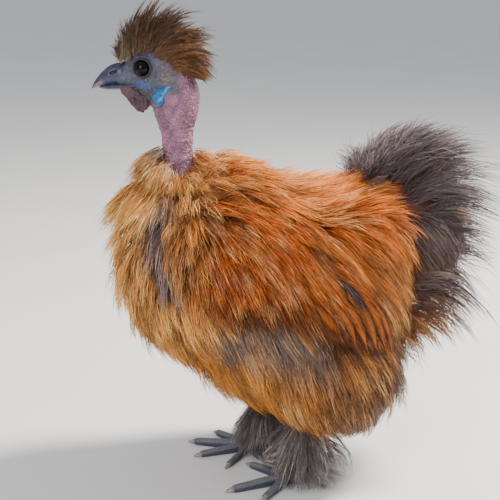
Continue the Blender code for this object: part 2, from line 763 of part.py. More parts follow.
def make_torso():
    draw = random.Random(SEED)
    forms = coat_ellipsoids(CORE_DEPTH)
    for direction in even_directions(COAT_LOCKS):
        if shows_on_torso(point_on(coat_form(), direction, CORE_DEPTH)):
            forms.append(lock_on(coat_form(), direction, COAT_SOURCE, draw))
    torso = union(forms, CROWDED)
    spaces = [tail_space(GAP), neck_tube(GAP)]
    for sign in SIDES.values():
        spaces += [wing_space(sign, GAP), thigh_space(sign, GAP)]
    for space in spaces:
        cut(torso, space, solver=CROWDED)
    finish_node(torso, "torso", "coat")


def side_point(x, z, depth, sign):
    """The point of the coat's form at X and Z, on one side."""
    far = 0
    for centre, radii in COAT_FORMS.values():
        share = ((x - centre.x) / (radii.x - depth)) ** 2 + ((z - centre.z) / (radii.z - depth)) ** 2
        if share < 1:
            far = max(far, (radii.y - depth) * math.sqrt(1 - share))
    return Vector((x, sign * far, z))


def flight_vane(sign, t):
    """One flight feather, from its root under the coverts to its tip on the wing's lower edge."""
    root = blend([Vector(p) for p in VANE_ROOTS], t)
    tip = blend([Vector(p) for p in VANE_TIPS], t)
    bend = (tip - root).orthogonal() * (-0.10 + 0.12 * t)
    points, outs = [], []
    for share, depth in zip(VANE_STEPS, VANE_DEPTHS):
        x, z = root.lerp(tip, share) + bend * math.sin(math.pi * share)
        points.append(side_point(x, z, depth - VANE_RISE * t * (share > 0.5), sign))
        outs.append(normal_on(coat_form(), (points[-1] - COAT_MIDDLE).normalized()))
    width, thickness = VANE_SIZE
    return blade(points, outs, scaled(width, VANE_WIDTHS), scaled(thickness, VANE_THICKNESSES))


def make_wing(side):
    sign = SIDES[side]
    draw = random.Random(SEED + 2 + sign)
    source = side_point(*WING_SOURCE, 0, sign)
    feathers = []
    for i in range(VANES):
        feathers.append(flight_vane(sign, i / (VANES - 1)))
    for direction in even_directions(WING_LOCKS):
        place = point_on(coat_form(), direction, WING_CORE_DEPTH)
        outside = place.y * sign > 3 * WING_INNER
        if outside and inside_outline(grown(WING_OUTLINE, WING_ROOT_INSET), place.x, place.z):
            feathers.append(lock_on(coat_form(), direction, source, draw, WING_LOCK_DEPTHS, WING_LOCK_SIZE))
    core = union(coat_ellipsoids(WING_CORE_DEPTH, 16, 10))
    inner = prism(grown(WING_OUTLINE, WING_CORE_INSET), sign * 2 * WING_INNER, sign * FAR)
    keep_inside(core, inner, CROWDED)
    wing = union([core] + feathers, CROWDED)
    keep_inside(wing, wing_space(sign), CROWDED)
    cut(wing, tail_space(GAP), solver=CROWDED)
    cut(wing, neck_tube(GAP), solver=CROWDED)
    finish_node(wing, f"wing_{side}", "wing")


def thigh_form(side):
    return THIGH_CENTRE[side], [(THIGH_CENTRE[side], THIGH_RADII)]


def hanging_lock(form, direction, low, draw):
    """A lock of the thigh: out of the core, then down to its lowest height."""
    width, thickness = THIGH_LOCK_SIZE
    out = Vector((direction.x, direction.y, 0)).normalized()
    points = [point_on(form, direction, LOCK_DEPTHS[0] - 0.004), point_on(form, direction, LOCK_DEPTHS[2])]
    drop = (points[1].z - low - draw.uniform(0, 0.004)) / 3
    sway = out.cross(Vector((0, 0, 1))) * draw.uniform(-0.2, 0.2) + Vector((0.12, 0, 0))
    for lean in THIGH_LEANS:
        points.append(points[-1] + (out * lean + sway - Vector((0, 0, 1))) * drop)
    outs = [(out + Vector((0, 0, 0.6))).normalized(), out, out, out]
    return blade(points, outs, scaled(width, LOCK_WIDTHS), scaled(thickness, LOCK_THICKNESSES))


def make_thigh(side):
    sign = SIDES[side]
    draw = random.Random(SEED + 7 + sign)
    inward = Vector((CORE_DEPTH, CORE_DEPTH, CORE_DEPTH))
    forms = [ellipsoid(THIGH_CENTRE[side], THIGH_RADII - inward, None, 14, 9)]
    for height, count, above in THIGH_TIERS:
        for i in range(count):
            turn = math.radians(-120 + 240 * (i + draw.uniform(0.35, 0.65)) / count)
            level = math.sqrt(1 - height * height)
            direction = Vector((math.sin(turn) * level, sign * math.cos(turn) * level, height))
            forms.append(hanging_lock(thigh_form(side), direction, THIGH_LOW + above, draw))
    thigh = union(forms, CROWDED)
    keep_inside(thigh, thigh_space(sign), CROWDED)
    for space in (wing_space(sign, GAP), tail_space(GAP), shank_tube(side, GAP)):
        cut(thigh, space, solver=CROWDED)
    cut(thigh, block((-FAR, -FAR, -FAR), (FAR, FAR, THIGH_LOW)), solver=CROWDED)
    finish_node(thigh, f"thigh_{side}", "coat")


def make_tail():
    draw = random.Random(SEED + 12)
    centre, radii = TAIL_CORE
    feathers = [ellipsoid(centre, radii, None, 16, 10)]
    for lean, count, first, last in TAIL_ROWS:
        for i in range(count):
            t = (i + 0.5) / count
            turn = math.radians(last + (first - last) * t + draw.uniform(-4, 4))
            side = math.radians(lean + draw.uniform(-5, 5))
            level, up = math.cos(turn + TAIL_LIFT), math.sin(turn + TAIL_LIFT)
            start = Vector((level * math.cos(side), math.sin(side), up * math.cos(side)))
            length = blend(TAIL_LENGTHS, t) * draw.uniform(0.90, 1.06)
            root = TAIL_ROOT + Vector([draw.uniform(-0.003, 0.003) for axis in range(3)])
            feathers.append(fan_feather(root, start, TAIL_DROOP, length, TAIL_FEATHER, draw))
    tail = union(feathers, CROWDED)
    keep_inside(tail, tail_space(), CROWDED)
    for sign in SIDES.values():
        cut(tail, wing_space(sign, GAP), solver=CROWDED)
    finish_node(tail, "tail", "tail")


# Legs and feet


def shank_tube(side, grow=0.0):
    top, pad = SHANK_TOP[side], FOOT_PAD[side]
    low = pad + Vector((0, 0, 0.002))
    ends = [low, low.lerp(top, 0.35), low.lerp(top, 0.75), top + Vector((0, 0, grow))]
    radii = [SHANK_RADIUS * share + grow for share in (1.10, 0.90, 0.95, 1.15)]
    return tube(ends, radii, 10)


def toe_heading(side, degrees):
    """A level direction, in degrees outward from straight ahead."""
    angle = math.radians(degrees)
    return Vector((-math.cos(angle), SIDES[side] * math.sin(angle), 0))


def toe_line(side, toe):
    """The middle line of a toe from the pad to where its claw starts, with its radii."""
    degrees, length, root, end, height = TOES[side][toe]
    start = FOOT_PAD[side]
    points, radii = [], []
    for t in (0, 0.35, 0.7, 1):
        radius = root + (end - root) * t
        rise = radius * 0.93 if height < root else root + (height - root) * t
        place = start + toe_heading(side, degrees) * length * t
        place.z = max(rise, start.z * 0.8 * (1 - 2.2 * t))
        points.append(place)
        radii.append(radius)
    return points, radii


def foot_forms(side, grow=0.0):
    forms = [ellipsoid(FOOT_PAD[side], PAD_RADII + Vector((grow, grow, grow)), None, 12, 8)]
    for toe in TOES[side]:
        points, radii = toe_line(side, toe)
        forms.append(tube(points, [radius + grow for radius in radii], 8))
    return union(forms)


def make_foot(side):
    foot = foot_forms(side)
    cut(foot, block((-FAR, -FAR, -FAR), (FAR, FAR, 0)))
    finish_node(foot, f"foot_{side}", "foot_scale")
    for toe in TOES[side]:
        make_claw(side, toe)


def claw_form(side, toe, grow=0.0):
    points, radii = toe_line(side, toe)
    end, along = points[-1], (points[-1] - points[-2]).normalized()
    radius = radii[-1] * 0.86
    start = end + along * (GAP - grow)
    level = Vector((along.x, along.y, 0)).normalized()
    up = Vector((0, 0, 1))
    aside = along.cross(up).normalized()
    top = aside.cross(along)
    rings = []
    for share, width, drop in CLAW_SECTIONS:
        middle = start + level * CLAW_LENGTH * share - up * CLAW_LENGTH * drop
        turns = [2 * math.pi * i / 8 for i in range(8)]
        wide = radius * width + grow
        rings.append([middle + (aside * math.cos(a) + top * math.sin(a)) * wide for a in turns])
    return loft(rings, start + level * (CLAW_LENGTH + 2 * grow) - up * CLAW_LENGTH * CLAW_DROP)


def make_claw(side, toe):
    claw = claw_form(side, toe)
    cut(claw, block((-FAR, -FAR, -FAR), (FAR, FAR, 0)))
    finish_node(claw, f"claw_{side}_{toe}", "claw")


def shank_lock(side, turn, height, spread):
    """A feather of the shank that falls outward to the floor."""
    heading, pad = toe_heading(side, turn), FOOT_PAD[side]
    top = pad.lerp(SHANK_TOP[side], height)
    low = SHANK_LOW - 0.50 * spread
    ends = [top, top + heading * spread * 0.45 - Vector((0, 0, 0.003))]
    ends.append(top.lerp(pad, 0.45) + heading * spread * 0.80)
    ends[2].z = max(low + 0.006, ends[2].z)
    ends.append(pad + heading * spread * 1.25)
    ends[3].z = low
    out = (heading + Vector((0, 0, 1.2))).normalized()
    width, thickness = SHANK_LOCK
    return blade(ends, [out] * 3, scaled(width, SHANK_WIDTHS), scaled(thickness, SHANK_THICKNESSES))


def make_shank(side):
    draw = random.Random(SEED + 20 + SIDES[side])
    forms = [shank_tube(side)]
    for i in range(SHANK_LOCKS):
        turn = 360 * i / SHANK_LOCKS + draw.uniform(-8, 8)
        behind = 0.5 - 0.5 * math.cos(math.radians(turn - 20))
        spread = blend(SHANK_SPREAD, behind) + draw.uniform(-0.002, 0.002)
        forms.append(shank_lock(side, turn, 0.30 + 0.20 * (i % 2), spread))
    shank = union(forms, CROWDED)
    cut(shank, foot_forms(side, GAP), solver=CROWDED)
    for toe in TOES[side]:
        cut(shank, claw_form(side, toe, GAP), solver=CROWDED)
    cut(shank, thigh_floor(side), solver=CROWDED)
    cut(shank, block((-FAR, -FAR, -FAR), (FAR, FAR, 0)), solver=CROWDED)
    finish_node(shank, f"shank_{side}", "foot_feather")


def thigh_floor(side):
    """Everything above the thighs' lowest tips, but for the shank itself."""
    above = block((-FAR, -FAR, THIGH_LOW - GAP), (FAR, FAR, FAR))
    return cut(above, shank_tube(side))


# Putting it together


def centre_on_floor():
    """Moves every node so that the middle of the whole box stands over the origin."""
    nodes = list(bpy.data.collections["silkie_hen"].objects)
    points = [node.matrix_world @ vertex.co for node in nodes for vertex in node.data.vertices]
    shift = Vector([
        -(min(p[axis] for p in points) + max(p[axis] for p in points)) / 2 for axis in (0, 1)
    ] + [0])
    for node in nodes:
        node.data.transform(Matrix.Translation(shift))


def main():
    clear_scene()
    make_head()
    make_beak()
    make_wattles_and_lobes()
    make_crest()
    make_neck()
    make_torso()
    make_tail()
    for side in SIDES:
        make_wing(side)
        make_thigh(side)
        make_shank(side)
        make_foot(side)
    centre_on_floor()


main()
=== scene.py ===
"""The looks of a naked-neck silkie hen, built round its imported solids.

Sizes are metres in the hen's working frame, the one that its solids were laid out in: the hen
faces -X, its left side is at -Y and it stands on Z = 0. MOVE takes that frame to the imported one.
The skin is one mesh over the flesh, and the plumage is strands of solid mesh, in tufts and plumes
that follow the lie of the coat.
"""

import math
from typing import NamedTuple

import bmesh
import bpy
import numpy as np
from mathutils import Matrix, Vector


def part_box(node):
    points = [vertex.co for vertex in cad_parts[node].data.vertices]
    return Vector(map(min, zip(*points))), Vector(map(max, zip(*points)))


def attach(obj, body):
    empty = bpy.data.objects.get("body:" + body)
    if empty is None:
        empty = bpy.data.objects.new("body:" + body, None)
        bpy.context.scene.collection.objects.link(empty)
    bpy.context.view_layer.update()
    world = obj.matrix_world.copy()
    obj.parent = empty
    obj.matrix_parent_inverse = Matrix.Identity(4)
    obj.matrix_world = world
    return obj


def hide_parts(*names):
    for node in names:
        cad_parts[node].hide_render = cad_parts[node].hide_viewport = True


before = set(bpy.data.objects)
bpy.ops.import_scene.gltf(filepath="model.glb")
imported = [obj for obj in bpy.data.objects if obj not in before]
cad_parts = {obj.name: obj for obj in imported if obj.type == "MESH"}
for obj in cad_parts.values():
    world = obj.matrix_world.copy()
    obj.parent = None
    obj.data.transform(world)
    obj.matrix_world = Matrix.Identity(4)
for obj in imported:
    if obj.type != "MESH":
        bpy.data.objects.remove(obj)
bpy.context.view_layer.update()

SEED = 11
SIDES = {"left": -1, "right": 1}

# The coat's outer form is a few ellipsoids: centre, radii
COAT_FORMS = [
    ((-0.012, 0, 0.153), (0.083, 0.078, 0.078)),
    ((0.030, 0, 0.121), (0.080, 0.076, 0.078)),
    ((0.052, 0, 0.160), (0.064, 0.062, 0.054)),
]
COLLAR_FORM = ((-0.058, 0, 0.190), (0.035, 0.025, 0.036))  # the coat's rise before the neck
COAT_MIDDLE = (0.018, 0, 0.138)
# The line of the back, which the coat stays under: X and Z, and how it falls away to the sides
BACK_LINE = [
    (-0.050, 0.2250), (-0.034, 0.2260), (-0.014, 0.2255), (0.000, 0.2215), (0.017, 0.2120), (0.035, 0.2055),
    (0.056, 0.2015), (0.100, 0.2010),
]
BACK_ROUND = 3.5  # metres of fall for each square metre of Y
BACK_SOFT = 0.006  # how far off the back and the sides start to run into each other
COAT_SOURCE = (-0.050, 0, 0.222)  # the coat lies away from here
SKIN_DEPTH = 0.019  # from the coat's outer form to the skin

HEAD_ORIGIN = np.array((-0.0700, 0.0050, 0.2815))  # midway between the eyes
HEAD_TURN = math.radians(12)  # to the hen's right
AHEAD = np.array((-math.cos(HEAD_TURN), math.sin(HEAD_TURN), 0))  # the way that the head faces
ASIDE = np.array((-math.sin(HEAD_TURN), -math.cos(HEAD_TURN), 0))  # to the left of its face
EYE_RADIUS = 0.0056
EYE_OUT = 0.0098  # from the head's middle to an eye's

NECK_PATH = [
    (-0.0440, 0, 0.190), (-0.0477, 0, 0.208), (-0.0487, 0, 0.224), (-0.0489, 0, 0.241), (-0.0478, 0, 0.262),
]
NECK_RADII = [0.0150, 0.0106, 0.0098, 0.0104, 0.0138]

WING_OUTLINE = [
    (-0.066, 0.186), (-0.052, 0.206), (-0.020, 0.204), (0.014, 0.192), (0.042, 0.168),
    (0.064, 0.137), (0.085, 0.100), (0.077, 0.095), (0.050, 0.1055), (0.018, 0.1150),
    (-0.018, 0.1180), (-0.045, 0.1265), (-0.061, 0.140), (-0.068, 0.162),
]
WING_SOURCE = (-0.054, 0.205)

# The fluff over a thigh and the side of the belly
THIGH_CENTRE = {"left": (0.040, -0.030, 0.097), "right": (0.032, 0.030, 0.097)}
THIGH_RADII = (0.060, 0.050, 0.066)
THIGH_BACK = 0.22  # how far its lower part runs back, for each metre down
THIGH_HEM = (0.027, 0.006)  # the lowest that it reaches, and how much higher it may end

SHANK_TOP = {"left": (0.034, -0.032, 0.060), "right": (0.022, 0.030, 0.060)}
FOOT_PAD = {"left": (0.020, -0.033, 0.0062), "right": (0.0060, 0.029, 0.0062)}
PAD_RADII = (0.0085, 0.0080, 0.0072)
# Each toe: heading in degrees outward from straight ahead, length, root and end radius, end height
TOES = {
    "left": {
        "inner": (-56, 0.034, 0.0036, 0.0025, 0.0023),
        "middle": (13, 0.040, 0.0040, 0.0027, 0.0024),
        "outer": (50, 0.034, 0.0036, 0.0025, 0.0023),
        "hind": (-166, 0.019, 0.0032, 0.0023, 0.0021),
        "fifth": (-118, 0.019, 0.0028, 0.0020, 0.0110),
    },
    "right": {
        "inner": (-9, 0.036, 0.0036, 0.0025, 0.0023),
        "middle": (27, 0.040, 0.0040, 0.0027, 0.0024),
        "outer": (62, 0.036, 0.0036, 0.0025, 0.0023),
        "hind": (-99, 0.019, 0.0032, 0.0023, 0.0021),
        "fifth": (-53, 0.034, 0.0030, 0.0022, 0.0021),
    },
}

PATCH = 0.003  # width of a tuft's patch on the bake map


# Numbers and vectors


def unit(vectors):
    vectors = np.asarray(vectors, float)
    return vectors / np.maximum(np.linalg.norm(vectors, axis=-1, keepdims=True), 1e-9)


def ramp(values, start, end):
    """Smoothly 0 at start to 1 at end, in either order."""
    share = np.clip((values - start) / (end - start), 0, 1)
    return share * share * (3 - 2 * share)


def mix(one, other, share):
    share = np.asarray(share)[..., None]
    return np.asarray(one) * (1 - share) + np.asarray(other) * share


def colour(red, green, blue):
    """A screen colour of 0 to 255 as linear light."""
    share = np.array((red, green, blue)) / 255
    return np.where(share < 0.04045, share / 12.92, ((share + 0.055) / 1.055) ** 2.4)


def waves(points, size, seed):
    """Soft patches from -1 to 1, about as wide as size, from a few crossing waves."""
    random = np.random.default_rng(seed)
    total = np.zeros(len(points))
    for _ in range(6):
        way = unit(random.normal(size=3))
        rate = 2 * math.pi / (size * (0.7 + 0.9 * random.random()))
        bend = unit(random.normal(size=3))
        total += np.sin(points @ way * rate + 2 * np.sin(points @ bend * rate * 0.6) + random.uniform(0, 6))
    return np.clip(total / 2.6, -1, 1)


def on_head(forward, left, up):
    """Places in the working frame, from how far forward, left and up of the head's middle they are."""
    return HEAD_ORIGIN + AHEAD * forward + ASIDE * left + np.array((0, 0, 1)) * up


def head_points(forward, left, up):
    """Rows of places on the head from arrays of any one shape."""
    return on_head(*(part.reshape(-1, 1) for part in np.broadcast_arrays(forward, left, up)))


def in_head(points):
    """Forward, left and up of points, in the head's own frame."""
    away = points - HEAD_ORIGIN
    return np.stack([away @ AHEAD, away @ ASIDE, away[..., 2]], axis=-1)


def to_vectors(directions):
    """Directions in the head's frame as directions in the working frame."""
    return on_head(directions[..., 0:1], directions[..., 1:2], directions[..., 2:3]) - HEAD_ORIGIN


EYE_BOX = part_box("eye_left")
MOVE = (np.array(EYE_BOX[0]) + np.array(EYE_BOX[1])) / 2 - on_head(0, EYE_OUT, 0)


# Forms made of ellipsoids


def reach(form, directions):
    """How far a form of ellipsoids reaches from its middle in each direction."""
    middle, shells = form
    far = np.zeros(len(directions))
    for centre, radii in shells:
        start = (np.array(middle) - centre) / radii
        step = directions / np.array(radii)
        a, b, c = (step * step).sum(1), step @ start, start @ start - 1
        inside = np.maximum(b * b - a * c, 0)
        far = np.maximum(far, np.where(inside > 0, (-b + np.sqrt(inside)) / a, 0))
    return far


def back_reach(directions):
    """How far it is from the coat's middle to the surface of the back in each direction."""
    upward = np.maximum(directions[:, 2], 0.02)
    far = np.full(len(directions), 0.08)
    for _ in range(8):
        x, y = COAT_MIDDLE[0] + directions[:, 0] * far, directions[:, 1] * far
        height = np.interp(x, *zip(*BACK_LINE)) - BACK_ROUND * y ** 2 - COAT_MIDDLE[2]
        far = (far + np.clip(height / upward, 0.02, 0.20)) / 2
    return far


def point_on(form, directions, depth):
    far = reach(form, directions)
    if form[0] is COAT_MIDDLE:
        back = back_reach(directions)
        blend = np.maximum(BACK_SOFT - np.abs(far - back), 0) / BACK_SOFT
        far = np.minimum(far, back) - blend * blend * BACK_SOFT / 4
    return np.array(form[0]) + directions * (far - depth)[:, None]


ANY_WAY = (0.31, 0.52, 0.79)  # a direction that no tuft's root has
NORMAL_STEP = 0.05  # to the points that a normal is taken from, as a share of the distance from the middle


def normal_on(form, directions):
    """Outward from a form, from four of its points close together."""
    side = unit(np.cross(directions, ANY_WAY)) * NORMAL_STEP
    other = np.cross(directions, side)
    a, b, c, d = (point_on(form, unit(directions + step), 0) for step in (side, other, -side, -other))
    normal = np.cross(a - c, b - d)
    return unit(normal) * np.sign((normal * directions).sum(1))[:, None]


def even_directions(count, draw):
    """Directions spread evenly over a sphere, a little out of line."""
    rows = np.arange(count) + 0.5
    up = 1 - 2 * rows / count
    turn = rows * math.pi * (3 - math.sqrt(5))
    level = np.sqrt(1 - up * up)
    even = np.stack([level * np.cos(turn), level * np.sin(turn), up], axis=1)
    return unit(even + draw.normal(0, 0.9 / math.sqrt(count), (count, 3)))


def coat_form():
    return COAT_MIDDLE, COAT_FORMS


def body_form():
    return COAT_MIDDLE, COAT_FORMS + [COLLAR_FORM]


def inside_outline(outline, x, z, grow):
    """Which points are inside a side outline grown a little, by counting the edges past each."""
    corners = np.array(outline)
    corners = corners + unit(corners - corners.mean(0)) * grow
    inside = np.zeros(len(x), bool)
    for (ax, az), (bx, bz) in zip(corners, np.roll(corners, -1, axis=0)):
        crosses = (az > z) != (bz > z)
        with np.errstate(divide="ignore", invalid="ignore"):
            inside ^= crosses & (x < ax + (z - az) * (bx - ax) / (bz - az))
    return inside


# Meshes from arrays


def in_scene(made):
    bpy.context.scene.collection.objects.link(made)
    return made


def new_object(name, points, faces, material, smooth=True):
    """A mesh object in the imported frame. Faces is a list of arrays of corners, each of one width."""
    mesh = bpy.data.meshes.new(name)
    mesh.vertices.add(len(points))
    mesh.vertices.foreach_set("co", (points + MOVE).astype(np.float32).ravel())
    corners = np.concatenate([block.ravel() for block in faces])
    sizes = np.concatenate([np.full(len(block), block.shape[1]) for block in faces])
    mesh.loops.add(len(corners))
    mesh.loops.foreach_set("vertex_index", corners.astype(np.int32))
    mesh.polygons.add(len(sizes))
    mesh.polygons.foreach_set("loop_start", (np.cumsum(sizes) - sizes).astype(np.int32))
    mesh.polygons.foreach_set("use_smooth", np.full(len(sizes), smooth))
    mesh.update(calc_edges=True)
    mesh.materials.append(material)
    return in_scene(bpy.data.objects.new(name, mesh))


def write_colours(mesh, tints, name="tint"):
    layer = mesh.attributes.new(name, "FLOAT_COLOR", "POINT")
    full = np.ones((len(tints), 4), np.float32)
    full[:, :3] = np.clip(tints, 0, 1)
    layer.data.foreach_set("color", full.ravel())


def dress(made, nodes):
    """Fixes a piece to the hen's one body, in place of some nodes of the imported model."""
    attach(made, "root")
    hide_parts(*nodes)


def solid_piece(name, points, faces, tints, material, nodes):
    made = new_object(name, points, faces, material)
    write_colours(made.data, tints)
    dress(made, nodes)


def write_bake_map(mesh, places):
    """The map that holds each tuft's patch, at its root's place on the unwrapped form."""
    corners = np.zeros(len(mesh.loops), np.int32)
    mesh.loops.foreach_get("vertex_index", corners)
    layer = mesh.uv_layers.new(name="OFBake")
    layer.data.foreach_set("uv", places[corners].astype(np.float32).ravel())


def unwrap(points, middle):
    """Places on a map of the form round a middle: the turn about it, and the height."""
    away = unit(points - np.array(middle))
    across = 0.5 + np.arctan2(away[..., 1], -away[..., 0]) / (2 * math.pi)
    up = 0.5 + np.arcsin(np.clip(away[..., 2], -1, 1)) / math.pi
    return np.stack([across, up], axis=-1) * (1 - 2 * PATCH) + PATCH


STRAND_TAPER = ((0, 0.25, 0.6, 1), (0.7, 1.0, 0.8, 0.12))  # shares of the length, and of the width there
STRAND_FLATNESS = 0.8
STRAND_CORNERS = np.radians((90, 210, 330))


def strand_object(name, lines, outs, widths, tints, places, material):
    """Joined strands of three sides that taper to a point: lines is strands by points by XYZ."""
    count, steps = lines.shape[:2]
    along = unit(np.gradient(lines, axis=1))
    aside = unit(np.cross(along, outs[:, None, :]))
    over = np.cross(aside, along)
    half = widths[:, None, None] * np.interp(np.linspace(0, 1, steps), *STRAND_TAPER)[:-1, None] / 2
    rings = (
        lines[:, :-1, None]
        + aside[:, :-1, None] * (np.cos(STRAND_CORNERS) * half)[..., None]
        + over[:, :-1, None] * (np.sin(STRAND_CORNERS) * half * STRAND_FLATNESS)[..., None]
    )
    per = 3 * (steps - 1) + 1
    points = np.concatenate([rings.reshape(count, -1, 3), lines[:, -1:, :]], axis=1)
    first = (np.arange(count) * per)[:, None, None]
    ring = np.arange(steps - 2)[None, :, None] * 3
    edge = np.array([(a, (a + 1) % 3, (a + 1) % 3 + 3, a + 3) for a in range(3)])
    sides = (first[..., None] + ring[..., None] + edge[None, None]).reshape(-1, 4)
    last = 3 * (steps - 2)
    point = np.array([(last + a, last + (a + 1) % 3, per - 1) for a in range(3)])
    tips = (first + point[None]).reshape(-1, 3)
    roots = (first[:, :, 0] + np.array((2, 1, 0))[None]).reshape(-1, 3)
    made = new_object(name, points.reshape(-1, 3), [sides, np.concatenate([tips, roots])], material)
    at = np.concatenate([np.repeat(np.arange(steps - 1), 3), [steps - 1]])
    write_colours(made.data, tints[:, at].reshape(-1, 3))
    spots = places[:, None] + PATCH * np.stack([np.zeros(per), at / (steps - 1) - 0.5], axis=1)
    write_bake_map(made.data, spots.reshape(-1, 2))
    return made


def along_lines(lines, shares):
    """The points at some shares of each line's length; past the end it goes on straight."""
    steps = lines.shape[1] - 1
    at = np.maximum(shares, 0) * steps
    low = np.clip(at.astype(int), 0, steps - 1)
    part = (at - low)[..., None]
    rows = np.arange(len(lines)).reshape((-1,) + (1,) * (shares.ndim - 1))
    return lines[rows, low] * (1 - part) + lines[rows, low + 1] * part


def arcs(roots, ends, bows, steps=8):
    """Lines from roots to ends, drawn aside by bows at their middle."""
    t = np.linspace(0, 1, steps)[None, :, None]
    middles = (roots + ends) / 2 + bows
    return roots[:, None] * (1 - t) ** 2 + 2 * middles[:, None] * t * (1 - t) + ends[:, None] * t ** 2


TINT_CHANGE = (0.1, 0.75)  # where along a line the root's colour ends and the tip's begins


class Plumes(NamedTuple):
    """Barbs along middle lines. Pairs are at a barb's root and tip, unless said otherwise."""

    count: int
    starts: tuple  # from the first to the last place where barbs leave the line, as shares of it
    lengths: tuple  # shortest and longest, as shares of the line
    spread: tuple  # how far they stand off to the sides
    rise: tuple  # how far they stand off over and under the line
    width: float
    frizz: float
    steps: int

    def grow(self, lines, outs, root_tints, tip_tints, middle, draw, fleck=0.16):
        """Strands, outward ways, widths, colours and map places for all the lines."""
        number, each = len(lines), self.count
        across = draw.uniform(-1, 1, (number, each))
        start = self.starts[0] + (self.starts[1] - self.starts[0]) * draw.random((number, each))
        end = start + (self.lengths[1] - self.lengths[0]) * draw.random((number, each)) + self.lengths[0]
        share = np.linspace(0, 1, self.steps)
        t = start[..., None] + (end - start)[..., None] * share
        middle_points = along_lines(lines, t.reshape(number, -1)).reshape(number, each, self.steps, 3)
        ways = unit(np.gradient(lines, axis=1))
        heading = along_lines(ways, np.minimum(t, 1).reshape(number, -1)).reshape(middle_points.shape)
        out = np.broadcast_to(outs[:, None, None, :], heading.shape)
        aside = unit(np.cross(heading, out))
        over = np.cross(aside, heading)
        root, tip = self.spread
        bow = draw.normal(0, 0.35, (number, each))[..., None] * np.sin(math.pi * share) * tip
        off = across[..., None] * (root + (tip - root) * share ** 0.8) + bow
        rise = self.rise[0] + (self.rise[1] - self.rise[0]) * share
        up = draw.uniform(-1, 1, (number, each))[..., None] * rise
        jitter = draw.normal(0, self.frizz, middle_points.shape) * share[:, None]
        points = middle_points + aside * off[..., None] + over * up[..., None] + jitter
        fleck_size = np.exp(draw.normal(0, fleck, (number, each, 1, 1)))
        to_tip = ramp(np.clip(t, 0, 1), *TINT_CHANGE)
        tints = mix(root_tints[:, None, None], tip_tints[:, None, None], to_tip) * fleck_size
        spot = unwrap(lines[:, 0], middle)[:, None] + PATCH * np.stack([across / 2, 0 * across], axis=-1)
        flat = number * each
        widths = self.width * draw.uniform(0.7, 1.3, flat)
        return (
            points.reshape(flat, self.steps, 3), np.repeat(outs, each, axis=0), widths,
            tints.reshape(flat, self.steps, 3), spot.reshape(flat, 2),
        )


def coat_piece(name, parts, material, nodes):
    """One piece of plumage from the strands of one or more sets of plumes."""
    dress(strand_object(name, *(np.concatenate(group) for group in zip(*parts)), material), nodes)


# Materials


class Shader:
    """A material with its node tree, and short ways to add nodes."""

    def __init__(self, name, roughness, **finish):
        self.material = bpy.data.materials.new(name)
        self.material.use_nodes = True
        self.tree = self.material.node_tree
        self.main = self.tree.nodes["Principled BSDF"]
        self.main.inputs["Roughness"].default_value = roughness
        for socket, value in finish.items():
            self.main.inputs[socket].default_value = value

    def node(self, kind, values=None, **settings):
        made = self.tree.nodes.new(kind)
        for name, value in settings.items():
            setattr(made, name, value)
        for name, value in (values or {}).items():
            made.inputs[name].default_value = value
        return made

    def link(self, source, target):
        self.tree.links.new(source, target)

    def place(self):
        return self.node("ShaderNodeTexCoord").outputs["Object"]

    def noise(self, scale, detail, stretch=None):
        """Noise of a scale in waves to the metre."""
        made = self.node("ShaderNodeTexNoise", {"Scale": scale, "Detail": detail})
        place = self.place()
        if stretch:
            mapping = self.node("ShaderNodeMapping", {"Scale": (1.0, 1.0, stretch)})
            self.link(place, mapping.inputs["Vector"])
            place = mapping.outputs["Vector"]
        self.link(place, made.inputs["Vector"])
        return made.outputs["Fac"]

    def cells(self, scale, edge):
        """Rounded pebbles: 1 at their middles, and 0 from a cell's edge outward."""
        made = self.node("ShaderNodeTexVoronoi", {"Scale": scale})
        self.link(self.place(), made.inputs["Vector"])
        return self.spread(made.outputs["Distance"], 0.1, edge, 1.0, 0.0)

    def spread(self, value, low, high, to_low, to_high):
        made = self.node("ShaderNodeMapRange", {1: low, 2: high, 3: to_low, 4: to_high})
        self.link(value, made.inputs["Value"])
        return made.outputs["Result"]

    def math(self, operation, one, other):
        made = self.node("ShaderNodeMath", operation=operation)
        self.link(one, made.inputs[0])
        if isinstance(other, float):
            made.inputs[1].default_value = other
        else:
            self.link(other, made.inputs[1])
        return made.outputs[0]

    def uneven(self, value, low, high):
        """A noise, which lies mostly from 0.3 to 0.7, spread from low to high."""
        return self.spread(value, 0.3, 0.7, low, high)

    def attribute(self, name):
        return self.node("ShaderNodeAttribute", attribute_name=name).outputs["Color"]

    def times(self, tint, factor):
        """A colour made lighter or darker by a factor."""
        made = self.node("ShaderNodeVectorMath", operation="SCALE")
        self.link(tint, made.inputs[0])
        self.link(factor, made.inputs["Scale"])
        return made.outputs["Vector"]

    def colour_from(self, tint):
        self.link(tint, self.main.inputs["Base Color"])

    def tinted(self, light):
        """The piece's own colours, made lighter or darker."""
        self.colour_from(self.times(self.attribute("tint"), light))

    def roughness_from(self, noise, low, high):
        self.link(self.uneven(noise, low, high), self.main.inputs["Roughness"])

    def bump(self, height, distance, strength):
        made = self.node("ShaderNodeBump", {"Distance": distance, "Strength": strength})
        self.link(height, made.inputs["Height"])
        self.link(made.outputs["Normal"], self.main.inputs["Normal"])


def plumage_material(name, roughness):
    """Silky barbs: each strand's own colour, uneven along it."""
    shader = Shader(name, roughness, **{"Specular IOR Level": 0.12})
    shader.tinted(shader.uneven(shader.noise(420.0, 2.0), 0.82, 1.18))
    return shader.material


